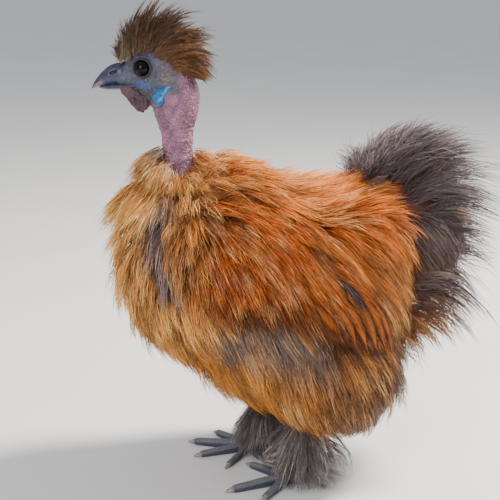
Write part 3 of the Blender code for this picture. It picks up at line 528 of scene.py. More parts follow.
def skin_material():
    """Bare skin: pebbled on the neck, finely wrinkled on the face and scaled on the feet."""
    shader = Shader("skin", 0.5, **{"Specular IOR Level": 0.45})
    relief = shader.node("ShaderNodeSeparateColor")
    shader.link(shader.attribute("relief"), relief.inputs["Color"])
    fine = shader.noise(1400.0, 4.0)
    pebbled = shader.math("MULTIPLY", shader.cells(640.0, 0.65), relief.outputs["Red"])
    wrinkled = shader.math("MULTIPLY", shader.noise(260.0, 3.0, 2.6), relief.outputs["Green"])
    height = shader.math("ADD", shader.math("ADD", pebbled, wrinkled), shader.math("MULTIPLY", fine, 0.35))
    shader.bump(height, 0.0008, 0.85)
    # lighter on the pebbles and wrinkles and darker in the grooves between them: painted highlight and shade
    # of the relief
    shader.tinted(shader.spread(height, 0.1, 1.3, 0.52, 1.42))
    shader.roughness_from(fine, 0.42, 0.60)
    return shader.material


def horn_material(name, roughness):
    """Horn of the beak: fine streaks, scratches and a satin shine."""
    shader = Shader(name, roughness, **{"Specular IOR Level": 0.5})
    streaks = shader.noise(900.0, 3.0, 2.2)
    scratches = shader.noise(2600.0, 2.0)
    shader.tinted(shader.uneven(streaks, 0.82, 1.16))
    shader.bump(shader.math("ADD", streaks, shader.math("MULTIPLY", scratches, 0.4)), 0.0002, 0.5)
    shader.roughness_from(scratches, roughness - 0.08, roughness + 0.10)
    return shader.material


def claw_material():
    """Horn of the claws, streaked dark and pale."""
    shader = Shader("claw_horn", 0.42, **{"Specular IOR Level": 0.5})
    streaks = shader.noise(700.0, 4.0, 3.0)
    bands = shader.node("ShaderNodeValToRGB")
    for stop, position, tint in zip(bands.color_ramp.elements, (0.32, 0.68), (CLAW_DARK, CLAW_PALE)):
        stop.position = position
        stop.color = (*tint, 1)
    shader.link(streaks, bands.inputs["Fac"])
    shader.colour_from(bands.outputs["Color"])
    shader.bump(streaks, 0.0002, 0.4)
    shader.roughness_from(streaks, 0.34, 0.52)
    return shader.material


def eye_material():
    shader = Shader("eye_wet", 0.14, **{"Specular IOR Level": 0.14})
    fibres = shader.noise(1800.0, 3.0)
    shader.tinted(shader.uneven(fibres, 0.75, 1.25))
    shader.bump(fibres, 0.00005, 0.1)
    return shader.material


def pad_material(name, roughness):
    """Soft bare skin with fine wrinkles and a satin shine."""
    finish = {"Specular IOR Level": 0.4, "Sheen Weight": 0.04, "Sheen Roughness": 0.4}
    shader = Shader(name, roughness, **finish)
    fine = shader.noise(2200.0, 3.0)
    height = shader.math("ADD", shader.cells(1500.0, 0.6), shader.math("MULTIPLY", fine, 0.5))
    # lighter on the bumps and darker in the pits between them: painted highlight and shade of the relief
    shader.tinted(shader.spread(height, 0.2, 1.3, 0.80, 1.20))
    shader.bump(height, 0.0003, 0.6)
    shader.roughness_from(fine, roughness - 0.08, roughness + 0.08)
    return shader.material


def floor_material():
    shader = Shader("floor", 0.75)
    pale = shader.uneven(shader.noise(6.0, 4.0), 0.82, 0.86)
    grey = shader.node("ShaderNodeCombineColor")
    for channel in ("Red", "Green", "Blue"):
        shader.link(pale, grey.inputs[channel])
    shader.colour_from(grey.outputs["Color"])
    return shader.material


# Markings, shared by the skin and the coat

BUFF = colour(244, 172, 92)
BUFF_ROOT = colour(152, 98, 60)
ORANGE = colour(228, 120, 38)
RUMP = colour(214, 106, 28)
CHESTNUT = colour(178, 76, 22)
RUST = colour(84, 26, 6)
BEIGE = colour(222, 172, 116)
GREY_FLUFF = colour(98, 96, 106)
PALE_FLUFF = colour(206, 196, 190)
DUST = colour(166, 134, 114)
SLATE = colour(74, 64, 66)
PARTING_GREY = colour(136, 126, 132)
SHADOW = colour(58, 38, 28)
BELLY = colour(196, 124, 48)
BROWN = colour(104, 70, 48)
FLANK = colour(138, 76, 34)
TAIL_DARK = colour(88, 80, 88)
TAIL_LIGHT = colour(144, 128, 124)
CREST_DARK = colour(88, 66, 51)
CREST_RUST = colour(164, 108, 70)
CREST_BASE = colour(160, 140, 116)
NECK_PINK = colour(152, 108, 128)
NECK_DARK = colour(110, 74, 96)
FACE_SLATE = colour(66, 70, 92)
FACE_BLUE = colour(22, 78, 160)
FACE_PURPLE = colour(66, 58, 98)
EAR_GREY = colour(98, 88, 102)
LID_GREY = colour(66, 66, 78)
LID_DARK = colour(16, 16, 22)
JAW_BROWN = colour(80, 62, 60)
FOOT_SLATE = colour(62, 66, 86)
FOOT_PALE = colour(140, 140, 142)
BOOT_DARK = colour(104, 98, 102)
BOOT_PALE = colour(206, 196, 186)
BRISTLE_PALE = colour(176, 168, 156)
BRISTLE_DARK = colour(60, 50, 50)
CLAW_DARK = colour(84, 80, 84)
CLAW_PALE = colour(176, 168, 156)


def paint(base, *layers):
    """A colour with others laid over it in turn, each with its share at every point."""
    for tint, share in layers:
        base = mix(base, tint, share)
    return base


def bell(values, middle, width):
    """1 at a middle and less to both sides of it."""
    return np.exp(-((values - middle) / width) ** 2)


# The grey parting between breast and wing, and the painted shadow along the wing's rear edge: rising Z, X
# there, width
PARTING = ((0.130, 0.148, 0.161, 0.171, 0.180, 0.197), (-0.054, -0.064, -0.070, -0.071, -0.0690, -0.061))
PARTING_WIDTH = 0.0070
WING_REAR = ((0.130, 0.143, 0.156, 0.171, 0.185), (0.0584, 0.0481, 0.0393, 0.0299, 0.0200))
WING_REAR_WIDTH = 0.0040
SHOULDER = [(-0.054, 0.2010), (-0.0470, 0.1990), (-0.0390, 0.1950), (-0.0341, 0.1871)]  # dark whorl: X, Z
# Where each zone of the markings fades in, along lines that zones() names
ZONES = {
    "back": (("x", -0.050, 0.000), ("z", 0.120, 0.165)),
    "rump": (("x", 0.020, 0.060), ("z", 0.150, 0.190)),
    "low": (("z", 0.135, 0.085),),
    "behind": (("rearward", -0.035, 0.030),),
    "under_tail": (("rearward", 0.005, 0.045),),
    "tail_root": (("tailward", 0.078, 0.094), ("z", 0.165, 0.185)),
    "side": (("aside", 0.030, 0.048),),
    "band": (("level", 0.091, 0.099), ("level", 0.119, 0.112), ("x", -0.046, -0.030), ("x", 0.048, 0.030)),
    "rear": (("x", 0.010, 0.050), ("z", 0.112, 0.080)),
    "flank": (("x", 0.036, 0.062), ("z", 0.104, 0.122), ("z", 0.180, 0.160)),
    "collar": (("from_neck", 0.020, 0.012), ("z", 0.203, 0.212)),
    "parting": (("z", 0.130, 0.142), ("z", 0.204, 0.196), ("aside", 0.010, 0.024)),
    "shade_behind_wing": (("z", 0.118, 0.132), ("z", 0.192, 0.176)),
    "wing_front": (("x", -0.050, -0.066),),
    "wing_low": (("z", 0.156, 0.132),),
    "wing_buff": (("x", -0.030, -0.055),),
}


def zones(points):
    """How much of each zone there is at points, from 0 to 1, by its name."""
    x, y, z = points.T
    lines = {
        "x": x, "z": z, "aside": np.abs(y), "level": z + 0.16 * x, "tailward": x + 0.5 * (z - 0.200),
        "rearward": 1.6 * (x - 0.105) - (z - 0.150), "from_neck": np.hypot(x + 0.053, y),
    }
    at = {name: math.prod(ramp(lines[line], start, end) for line, start, end in fades)
          for name, fades in ZONES.items()}
    at["parting"] = at["parting"] * bell(x, np.interp(z, *PARTING), PARTING_WIDTH)
    at["shade_behind_wing"] = at["shade_behind_wing"] * bell(x, np.interp(z, *WING_REAR), WING_REAR_WIDTH)
    for name in ("band", "rear", "flank"):
        at[name] = at[name] * at["side"]
    return at


def coat_marks(points):
    """Root and tip colours of the body's plumage at points of the coat."""
    at = zones(points)
    tip = paint(
        BUFF,
        (ORANGE, at["back"] * 0.68),
        (RUMP, at["rump"] * 0.8),
        (BELLY, at["low"] * 0.9),
        (BROWN, np.maximum(at["behind"] * 0.75, at["rear"] * 0.90)),
        (FLANK, at["flank"] * 0.70),
        (TAIL_DARK, at["under_tail"] * 0.75),
        (TAIL_DARK, at["tail_root"] * 0.8),
        (GREY_FLUFF, at["band"] * np.clip(0.85 + 0.40 * waves(points, 0.024, 29), 0.3, 0.97)),
        (PARTING_GREY, at["parting"]),
        # painted shadow along the wing's rear edge
        (SHADOW, at["side"] * at["shade_behind_wing"] * 0.9),
        (PALE_FLUFF, at["collar"] * 0.40),
        (DUST, ramp(waves(points, 0.020, 27), 0.45, 0.95) * 0.30),
    )
    root = paint(
        BUFF_ROOT,
        (CHESTNUT * 0.75, at["back"] * 0.8),
        (SLATE, np.clip(at["low"] * 0.45 + at["behind"] * 0.6 + at["parting"], 0, 0.9)),
        (PALE_FLUFF, np.maximum(at["band"] * 0.4, at["collar"] * 0.7)),
    )
    return root, tip * (1 + 0.20 * waves(points, 0.045, 3))[:, None]


def wing_marks(points):
    """Root and tip colours of the wing's plumage."""
    at = zones(points)
    patches = waves(points, 0.026, 8)
    away = np.min([np.hypot(points[:, 0] - x, points[:, 2] - z) for x, z in SHOULDER], axis=0)
    shoulder = ramp(away, 0.0085, 0.003)
    tip = paint(
        CHESTNUT,
        (ORANGE, 0.55 + 0.45 * patches),
        (BEIGE, ramp(patches, 0.55, 1.0) * 0.25),
        (RUST, at["wing_low"] * 0.95),
        (BUFF, at["wing_buff"] * 0.45),
        (SLATE, np.maximum(at["wing_front"] * 0.35, shoulder * 0.6)),
        # painted shadow along the wing's rear edge
        (SHADOW, at["shade_behind_wing"] * 0.8),
        (DUST, ramp(waves(points, 0.018, 28), 0.40, 0.95) * (1 - at["wing_low"]) * 0.4),
    )
    return mix(RUST, SHADOW, np.maximum(np.maximum(at["wing_front"], shoulder), 0.45)), tip


def speckle(root, tip, draw, pale, dark):
    """Gives a share of the plumes pale beige tips and another share dark ones."""
    chance = draw.random(len(tip))
    return root, paint(tip, (BEIGE, (chance < pale) * 0.7), (SHADOW, (chance > 1 - dark) * 0.6))


# The coat

SWIRL_SIZE = 0.034  # width of the patches in which neighbouring tufts turn the same way
LEAD_STEPS = 7  # points along each tuft's middle line
# Tufts spread over each whole form, of which only those that show are kept, and how long they are
BODY_TUFTS, BODY_TUFT = 2950, 0.040
WING_TUFTS, WING_TUFT = 6200, 0.034
THIGH_TUFTS, THIGH_TUFT = 960, 0.036
TAIL_TUFTS, TAIL_TUFT = 520, 0.042
BODY_PARTS = 4  # parts that the body's coat is divided into, so that no piece is too large


def leads(form, directions, source, lean, length, depths, draw, sway=0.14, lift=0.003, swirl=0.22):
    """Middle lines that lie along a form away from a source, and the outward way at each middle."""
    number = len(directions)
    levels = np.interp(np.linspace(0, 1, LEAD_STEPS), np.linspace(0, 1, len(depths)), depths)
    stride = length * draw.uniform(0.80, 1.2, number) / (LEAD_STEPS - 1)
    lifts = draw.normal(0, lift, number)
    swing = draw.normal(0, sway, number)
    heading = np.zeros((number, 3))
    points, outs = [], []
    for i, level in enumerate(levels):
        normal = normal_on(form, directions)
        place = point_on(form, directions, level - np.maximum(lifts, -0.004) * i / (LEAD_STEPS - 1))
        points.append(place)
        outs.append(normal)
        lie = unit(place - source) + lean(place) + heading
        lie = unit(lie - normal * (lie * normal).sum(1)[:, None])
        if i == 0:
            turn = swing + swirl * waves(place, SWIRL_SIZE, 17)
            lie = unit(lie + np.cross(normal, lie) * turn[:, None])
        heading = lie
        directions = unit(place + lie * stride[:, None] - form[0])
    return np.stack(points, axis=1), outs[len(outs) // 2]


# Ways that the coat leans: trailing back, falling behind the wings and on the thighs, rising to the tail
TRAILING = np.array((0.30, 0, -0.35))
FALLING = np.array((0.25, 0, -1.15))
RISING = np.array((0.8, 0, 1.3))
WING_FRONT_LEAN = np.array((0.12, 0, -0.30))
WING_REAR_LEAN = np.array((0.05, 0, -0.95))
THIGH_LEAN = np.array((0.30, 0, -1.3))


def body_lean(places):
    x, z = places[:, 0], places[:, 2]
    falls = ramp(x, 0.000, 0.060) * ramp(z, 0.200, 0.180)
    return paint(TRAILING, (FALLING, falls), (RISING, ramp(x, 0.018, 0.040) * ramp(z, 0.178, 0.192)))


def wing_lean(places):
    return mix(WING_FRONT_LEAN, WING_REAR_LEAN, ramp(places[:, 0], -0.040, 0.045))


def thigh_lean(places):
    return np.broadcast_to(THIGH_LEAN, places.shape)


TAIL_SIDE = ((0.080, 0, 0.216), (0.907, 0, 0.421))  # a place at the tail's root, and the way out from it


def shows_on_body(places):
    """Where the body's own coat is at the surface, or lies a little way under a wing or the tail."""
    x, y, z = places.T
    under_wing = inside_outline(WING_OUTLINE, x, z, -0.018) & (np.abs(y) > 0.036)
    under_tail = (places - TAIL_SIDE[0]) @ np.array(TAIL_SIDE[1]) > 0.012
    under_thigh = (np.abs(y) > 0.030) & (z < 0.085) & (x > 0.0)
    return ~under_wing & ~under_tail & ~under_thigh


RUMP_RISE = 0.004  # how far the tips stand up where the rump runs up to the tail
PARTING_DEPTH = 0.004


def risen(lines, outs):
    """Lines of the coat, with those of the rump turned up toward the tail and a groove at the parting."""
    middles = lines[:, LEAD_STEPS // 2]
    up = RUMP_RISE * ramp(middles[:, 0], 0.012, 0.040) * ramp(middles[:, 2], 0.180, 0.194)
    lines[..., 2] += up[:, None] * np.linspace(0, 1, LEAD_STEPS) ** 2
    return lines - (outs * (PARTING_DEPTH * zones(middles)["parting"])[:, None])[:, None]


def body_tufts(draw):
    """Directions of the body's tufts, from front to back."""
    directions = even_directions(BODY_TUFTS, draw)
    directions = directions[shows_on_body(point_on(body_form(), directions, 0.010))]
    return directions[np.argsort(directions[:, 0] + 0.3 * directions[:, 2])]


# How deep tufts lie in a form from root to tip; below 0 they stand out of it
BODY_DEPTHS = (0.0200, 0.0130, 0.0070, 0.0030, 0.0000, -0.0020)
WING_DEPTHS = (0.0120, 0.0050, 0.0000, -0.0035, -0.0060)
THIGH_DEPTHS = (0.0170, 0.0110, 0.0060, 0.0030, 0.0010)
DOWN = Plumes(10, (0.0, 0.45), (0.45, 0.62), (0.0036, 0.0046), (0.0012, 0.0024), 0.00056, 0.0009, 3)
WISPS = Plumes(13, (0.05, 0.55), (0.42, 0.60), (0.0036, 0.0018), (0.0014, 0.0014), 0.00042, 0.0006, 3)


def tufts(lines, outs, marks, middle, draw, pale=0.10, dark=0.16):
    """Down close to the skin and finer wisps over it, both along the same middle lines."""
    root, tip = speckle(*marks(lines[:, LEAD_STEPS // 2]), draw, pale, dark)
    return [
        # the down's tips a little darker, painted shade under the wisps; the wisps' tips lighter and toward
        # beige, painted highlight on the outer layer
        DOWN.grow(lines, outs, root, tip * 0.90, middle, draw, 0.20),
        WISPS.grow(lines, outs, root, mix(tip, BEIGE, 0.12) * 1.15, middle, draw, 0.30),
    ]


def two_layers(name, side, strands, material, nodes):
    """Two pieces of plumage, the down and the wisps over it."""
    for layer, part in zip(("down", "wisps"), strands):
        coat_piece("_".join((name, layer, side)).rstrip("_"), [part], material, nodes)


def make_body_coat(material):
    draw = np.random.default_rng(SEED)
    for number, part in enumerate(np.array_split(body_tufts(draw), BODY_PARTS)):
        lines, outs = leads(body_form(), part, COAT_SOURCE, body_lean, BODY_TUFT, BODY_DEPTHS, draw)
        strands = tufts(risen(lines, outs), outs, coat_marks, COAT_MIDDLE, draw)
        two_layers("body", str(number + 1), strands, material, ["torso"] if number == 0 else [])


def make_wings(material):
    for side, sign in SIDES.items():
        draw = np.random.default_rng(SEED + 3 + sign)
        directions = even_directions(WING_TUFTS, draw)
        places = point_on(coat_form(), directions, 0.004)
        inside = inside_outline(WING_OUTLINE, places[:, 0], places[:, 2], -0.002)
        inside &= places[:, 1] * sign > 0.02
        source = np.array((WING_SOURCE[0], sign * 0.05, WING_SOURCE[1]))
        lines, outs = leads(
            coat_form(), directions[inside], source, wing_lean, WING_TUFT, WING_DEPTHS, draw,
            sway=0.12, lift=0.0018, swirl=0.16,
        )
        kept = inside_outline(WING_OUTLINE, lines[:, -1, 0], lines[:, -1, 2], 0.004)
        strands = tufts(lines[kept], outs[kept], wing_marks, COAT_MIDDLE, draw, pale=0.06, dark=0.24)
        two_layers("wing", side, strands, material, [f"wing_{side}"])


# Flight feathers at the wing's lower rear edge: root and tip as X and Z, and width
BRONZE_FEATHERS = [
    ((0.018, 0.142), (0.044, 0.1125), 0.0082), ((0.026, 0.145), (0.053, 0.1100), 0.0086),
    ((0.034, 0.148), (0.061, 0.1065), 0.0090), ((0.040, 0.151), (0.069, 0.1030), 0.0086),
    ((0.046, 0.152), (0.077, 0.0995), 0.0078), ((0.051, 0.150), (0.083, 0.0965), 0.0064),
]
SLATE_FEATHERS = [((0.037, 0.154), (0.0575, 0.1310), 0.0044), ((0.042, 0.154), (0.0610, 0.1300), 0.0042)]
BRONZE = colour(140, 72, 18)
BRONZE_EDGE = colour(34, 14, 8)
BLUE_SLATE = colour(40, 38, 44)


def on_coat_side(x, z, depth, sign):
    """Points of the coat's form at X and Z on one side, and the outward ways there."""
    far = np.full(len(x), 0.02)
    for centre, radii in COAT_FORMS:
        a, b, c = (radius - depth for radius in radii)
        share = 1 - ((x - centre[0]) / a) ** 2 - ((z - centre[2]) / c) ** 2
        far = np.maximum(far, b * np.sqrt(np.maximum(share, 0)))
    points = np.stack([x, sign * far, z], axis=-1)
    return points, unit((points - COAT_MIDDLE) * (0.6, 1.6, 0.6))


VANE_STEPS, VANE_ACROSS = 16, 9
VANE_SHARES = (0, 0.15, 0.45, 0.72, 0.90, 1)
VANE_WIDTHS = (0.30, 0.75, 1.0, 0.78, 0.36, 0.03)  # at those shares of its length
VANE_DEPTHS = ((0, 0.4, 1), (0.004, -0.0020, -0.0028))  # in the coat, from root to tip
VANE_CAMBER, VANE_SHAFT, VANE_THICKNESS = 0.0003, 0.0002, 0.00035


def vane_mesh(root, tip, width, sign, bow, lift):
    """Points and faces of one flight feather, a thin curved blade, and shares across and along it."""
    t = np.linspace(0, 1, VANE_STEPS)
    way = np.array(tip) - root
    bend = np.array((way[1], -way[0])) * bow
    line = np.array(root) + way * t[:, None] + bend * np.sin(math.pi * t)[:, None]
    middle, out = on_coat_side(line[:, 0], line[:, 1], np.interp(t, *VANE_DEPTHS) - lift, sign)
    aside = unit(np.cross(unit(np.gradient(middle, axis=0)), out))
    wide = np.interp(t, VANE_SHARES, VANE_WIDTHS)
    share = np.linspace(-1, 1, VANE_ACROSS)
    camber = VANE_CAMBER * (1 - share ** 2) + VANE_SHAFT * bell(share, 0, 0.12)
    top = middle[:, None] + aside[:, None] * (share * wide[:, None] * width / 2)[..., None]
    top = top + out[:, None] * (camber * wide[:, None])[..., None]
    low = top - out[:, None] * VANE_THICKNESS
    points = np.concatenate([top.reshape(-1, 3), low.reshape(-1, 3)])
    grid = np.arange(VANE_STEPS * VANE_ACROSS).reshape(VANE_STEPS, VANE_ACROSS)
    quads = np.stack([grid[:-1, :-1], grid[1:, :-1], grid[1:, 1:], grid[:-1, 1:]], -1).reshape(-1, 4)
    border = np.concatenate([grid[0], grid[1:, -1], grid[-1, -2::-1], grid[-2:0:-1, 0]])
    following = np.roll(border, -1)
    rim = np.stack([border, following, following + grid.size, border + grid.size], -1)
    faces = np.concatenate([quads, quads[:, ::-1] + grid.size, rim])
    return points, faces, np.tile(share, 2 * VANE_STEPS), np.tile(np.repeat(t, VANE_ACROSS), 2)


def make_flights(material):
    """The smooth flight feathers that show below the wing's silky coverts."""
    rows = [(BLUE_SLATE, BLUE_SLATE * 0.5, 0.0024, row) for row in SLATE_FEATHERS]
    rows += [(BRONZE, BRONZE_EDGE, 0.0008, row) for row in BRONZE_FEATHERS]
    for side, sign in SIDES.items():
        draw = np.random.default_rng(SEED + 61 + sign)
        points, faces, tints, total = [], [], [], 0
        for number, (light, dark, lift, (root, tip, width)) in enumerate(rows):
            bow = draw.uniform(-0.10, -0.02)
            more, sides, across, along = vane_mesh(root, tip, width, sign, bow, lift + 0.0003 * number)
            barbs = 0.5 + 0.5 * np.sin(along * 90 + np.abs(across) * 16 + draw.uniform(0, 6))
            edge, shaft = ramp(np.abs(across), 0.35, 0.85) * 0.95, bell(across, 0, 0.10) * 0.4
            # the pale line down the shaft is partly the shaft's own paler colour and partly a painted
            # highlight
            tint = paint(light, (dark, edge), (light * 2, shaft)) * (0.86 + 0.22 * barbs)[:, None]
            points.append(more)
            faces.append(sides + total)
            tints.append(tint * draw.uniform(0.85, 1.15))
            total += len(more)
        solid_piece(f"flights_{side}", np.concatenate(points), [np.concatenate(faces)], np.concatenate(tints),
                    material, [f"wing_{side}"])


def make_thighs(material):
    for side, sign in SIDES.items():
        draw = np.random.default_rng(SEED + 9 + sign)
        form = (THIGH_CENTRE[side], [(THIGH_CENTRE[side], THIGH_RADII)])
        directions = even_directions(THIGH_TUFTS, draw)
        keep = (directions[:, 1] * sign > -0.30) & (directions[:, 2] < 0.42) & (directions[:, 2] > -0.86)
        source = np.array(THIGH_CENTRE[side]) + (-0.02, 0, 0.14)
        lines, outs = leads(
            form, directions[keep], source, thigh_lean, THIGH_TUFT, THIGH_DEPTHS, draw, sway=0.12
        )
        lines[..., 0] += THIGH_BACK * np.maximum(THIGH_CENTRE[side][2] - lines[..., 2], 0)
        hem = THIGH_HEM[0] + THIGH_HEM[1] * draw.random((len(lines), 1))
        lines[..., 2] = np.maximum(lines[..., 2], hem)
        strands = tufts(lines, outs, coat_marks, THIGH_CENTRE[side], draw, pale=0.12, dark=0.12)
        two_layers("thigh", side, strands, material, [f"thigh_{side}"])


RUFF_TUFTS = 460


def make_ruff(material):
    """Two rings of buff feathers round the foot of the bare neck, high before and behind it."""
    draw = np.random.default_rng(SEED + 15)
    turn = draw.uniform(0, 2 * math.pi, RUFF_TUFTS)
    away = np.stack([np.cos(turn), np.sin(turn), 0 * turn], axis=1)
    facing = np.abs(np.cos(turn)) ** 1.5
    rise = facing * np.where(np.cos(turn) < 0, 0.0250, 0.0210) * draw.random(RUFF_TUFTS) ** 0.8
    lower = draw.random(RUFF_TUFTS) < 0.40
    roots = np.array((NECK_PATH[2][0] + 0.0005, 0, 0)) + away * np.where(lower, 0.0190, 0.0100)[:, None]
    roots[:, 2] = np.where(lower, 0.2000, 0.2110) + rise * np.where(lower, 0.45, 0.80)
    length = (0.022 + 0.008 * facing) * np.where(lower, 1.35, 1.0) * draw.uniform(0.7, 1.15, RUFF_TUFTS)
    ends = roots + away * (length * 0.80)[:, None] - (0, 0, 1) * (length * 0.60)[:, None]
    ends = ends + draw.normal(0, 0.002, ends.shape)
    lines = arcs(roots, ends, unit(away + (0, 0, 1)) * (length * 0.16)[:, None])
    strands = tufts(lines, unit(away + (0, 0, 0.9)), coat_marks, COAT_MIDDLE, draw, pale=0.18, dark=0.08)
    two_layers("ruff", "", strands, material, [])


TAIL_CORE = ((0.103, 0, 0.170), (0.046, 0.034, 0.048))
TAIL_DEPTHS = (0.0120, 0.0060, 0.0000, -0.0040, -0.0060)
TAIL_SOURCE = np.array((0.050, 0, 0.190))
# The tail from its front top edge round to its lower edge: the fan's outline, its roots, and how
# much the plumes bow upward, as a share of their length
TAIL_OUTLINE = [
    (0.0780, 0.2150), (0.0900, 0.2300), (0.1090, 0.2420), (0.1310, 0.2490), (0.1500, 0.2440),
    (0.1620, 0.2270), (0.1690, 0.2030), (0.1700, 0.1730), (0.1710, 0.1430), (0.1660, 0.1140),
    (0.1500, 0.0940), (0.1250, 0.0810), (0.1040, 0.0780),
]
TAIL_ROOTS = [(0.074, 0.198), (0.082, 0.190), (0.088, 0.168), (0.094, 0.144), (0.092, 0.122), (0.084, 0.108)]
TAIL_BOWS = [0.06, 0.16, 0.24, 0.26, 0.24, 0.18, 0.08]
TAIL_CURL = [0.02, 0.10, 0.20, 0.26, 0.24, 0.12, 0.02]  # how far the tips hook down, as a share of the length
TAIL_ROOT_HALF, TAIL_TIP_HALF = 0.016, 0.060  # half the fan's width
TAIL_FLUFF_COUNT, TAIL_HOOK_COUNT = 190, 350
TAIL_FLUFF = Plumes(36, (0.12, 0.78), (0.24, 0.34), (0.0012, 0.0090), (0.0008, 0.0060), 0.00046, 0.0009, 3)
TAIL_HOOKS = Plumes(14, (0.26, 0.60), (0.40, 0.46), (0.0030, 0.0009), (0.0014, 0.0007), 0.00046, 0.0004, 4)


def spread_values(values, shares):
    """Values at shares from 0 to 1 along a short list of numbers or of rows."""
    values = np.array(values, float)
    at = np.clip(shares, 0, 1) * (len(values) - 1)
    if values.ndim == 1:
        return np.interp(at, np.arange(len(values)), values)
    return np.stack([spread_values(column, shares) for column in values.T], axis=1)


def above(roots, ends, nudge):
    """The lengths from roots to ends, and at right angles to each line the way that goes up the most."""
    chord = unit(ends - roots)
    return np.linalg.norm(ends - roots, axis=1), unit(np.cross(np.cross(chord, (0, 0, 1.0)), chord) + nudge)


def tail_marks(points):
    """Root and tip colours of the plumage over the tail's base."""
    x, z = points[:, 0], points[:, 2]
    patches = waves(points, 0.03, 21)
    inward = x + 0.3 * (0.170 - z) + 0.010 * patches
    tip = paint(
        TAIL_DARK,
        (TAIL_LIGHT, 0.3 + 0.3 * patches),
        (mix(BROWN, BELLY, 0.5 + 0.5 * patches), ramp(z, 0.160, 0.120) * 0.7),
        (ORANGE, ramp(inward, 0.098, 0.078) * 0.8),
    )
    return mix(tip, SHADOW, 0.40), tip


def make_tail_base(material):
    draw = np.random.default_rng(SEED + 19)
    form = (TAIL_CORE[0], [TAIL_CORE])
    directions = even_directions(TAIL_TUFTS, draw)
    directions = directions[directions[:, 0] > -0.20]
    lines, outs = leads(form, directions, TAIL_SOURCE, body_lean, TAIL_TUFT, TAIL_DEPTHS, draw)
    strands = tufts(lines, outs, tail_marks, TAIL_CORE[0], draw)
    two_layers("tail", "base", strands, material, ["tail"])


def tail_lines(number, low, high, draw):
    """Plumes of the tail: bowed lines from roots within its base to near the fan's outline."""
    share = draw.random(number)
    reach_out = draw.uniform(low, high, number)
    sideways = draw.normal(0, 0.42, number).clip(-1, 1)
    roots_2, ends_2 = spread_values(TAIL_ROOTS, share), spread_values(TAIL_OUTLINE, share)
    ends_2 = roots_2 + (ends_2 - roots_2) * (reach_out * (1 - 0.10 * sideways ** 2))[:, None]
    roots = np.stack([roots_2[:, 0], TAIL_ROOT_HALF * sideways, roots_2[:, 1]], axis=1)
    roots = roots + draw.normal(0, 0.003, (number, 3))
    ends = np.stack([ends_2[:, 0], TAIL_TIP_HALF * sideways * reach_out, ends_2[:, 1]], axis=1)
    length, upward = above(roots, ends, 1e-6)
    bow = spread_values(TAIL_BOWS, share) * length * draw.uniform(0.7, 1.3, number)
    lines = arcs(roots, ends, upward * bow[:, None])
    curl = spread_values(TAIL_CURL, share) * length * draw.uniform(0.3, 1.3, number)
    late = np.clip(np.linspace(-1, 1, lines.shape[1]), 0, 1) ** 2
    lines = lines - (upward * curl[:, None])[:, None] * late[:, None]
    aside = np.array((0, 1.0, 0)) * np.sign(sideways + 1e-6)[:, None]
    outs = unit(aside + upward * 0.5 + draw.normal(0, 0.35, (number, 3)))
    return lines, outs, share


def make_tail(material):
    """Dense fluff, and longer hooked plumes over it; both turn brown and buff in the tail's lowest part."""
    draw = np.random.default_rng(SEED + 21)
    number = TAIL_FLUFF_COUNT
    lines, outs, share = tail_lines(number, 0.82, 0.98, draw)
    tip = mix(TAIL_DARK, TAIL_LIGHT, 0.15 + draw.random(number) * 0.6)
    tip = mix(tip, mix(BROWN, BELLY, draw.random(number)), ramp(share, 0.66, 0.86) * 0.85)
    root = mix(TAIL_DARK * 1.1, RUST, (draw.random(number) < 0.3) * ramp(share, 0.9, 0.0) * 0.3)
    fluff = TAIL_FLUFF.grow(lines, outs, root, tip, TAIL_CORE[0], draw)
    coat_piece("tail_fluff", [fluff], material, ["tail"])
    number = TAIL_HOOK_COUNT
    lines, outs, share = tail_lines(number, 0.88, 1.00, draw)
    low = ramp(share, 0.74, 0.90)
    orange = (draw.random(number) < 0.25) * ramp(share, 0.80, 0.20)
    tip = mix(TAIL_DARK * 0.50, TAIL_LIGHT, draw.random(number) ** 2 * 0.6)
    root = mix(TAIL_DARK * 0.8, TAIL_LIGHT, draw.random(number) * 0.6)
    root = paint(root, (ORANGE, orange * 0.5), (CHESTNUT, low * 0.6))
    tip = mix(tip, mix(BROWN, BUFF, draw.random(number) * 0.7), low * 0.8)
    hooks = TAIL_HOOKS.grow(lines, outs, root, tip, TAIL_CORE[0], draw)
    coat_piece("tail_hooks", [hooks], material, ["tail"])


CRANIUM = ((-0.0100, 0, 0.0015), (0.0205, 0.0132, 0.0130))
# The crest's lower edge on the head: forward, and how high it is there
CREST_EDGE = [
    (-0.031, -0.0045), (-0.021, -0.0030), (-0.0143, 0.0012), (-0.0034, 0.0073), (0.0052, 0.0067),
    (0.018, 0.0),
]
# The crest's outline from the forehead round to the nape, forward and up
CREST_OUTLINE = [
    (0.0198, 0.0095), (0.0205, 0.0140), (0.0187, 0.0210), (0.0136, 0.0305), (0.0067, 0.0359),
    (0.0005, 0.0389), (-0.0045, 0.0420), (-0.0131, 0.0440), (-0.0297, 0.0420), (-0.0410, 0.0320),
    (-0.0470, 0.0170), (-0.0490, 0.0020), (-0.0475, -0.0080), (-0.0420, -0.0100),
]
CREST_BOWS = [0.00, 0.03, 0.06, 0.14, 0.24, 0.30, 0.26, 0.12]  # of its feathers, as shares of their length
# Where on the crown the feathers of each part of the outline stand: rising forward, and the part
CREST_PARTS = ((-0.029, -0.021, -0.014, -0.003, 0.005, 0.010, 0.017), (13, 11.2, 9.6, 8.0, 6.2, 3.5, 0))
# The brow is a dome: its middle forward, half its length and half its width, its base and its height
BROW_MIDDLE, BROW_LONG, BROW_WIDE = 0.005, 0.0165, 0.0085
BROW_HEIGHT = (-0.0031, 0.0088)
CREST_FLUFF_COUNT, CREST_SPIKE_COUNT = 310, 280
CREST_FLUFF = Plumes(14, (0.0, 0.40), (0.45, 0.60), (0.0016, 0.0024), (0.0010, 0.0014), 0.00042, 0.0008, 3)
CREST_SPIKES = Plumes(11, (0.05, 0.48), (0.50, 0.58), (0.0018, 0.0006), (0.0010, 0.0005), 0.00036, 0.0003, 4)


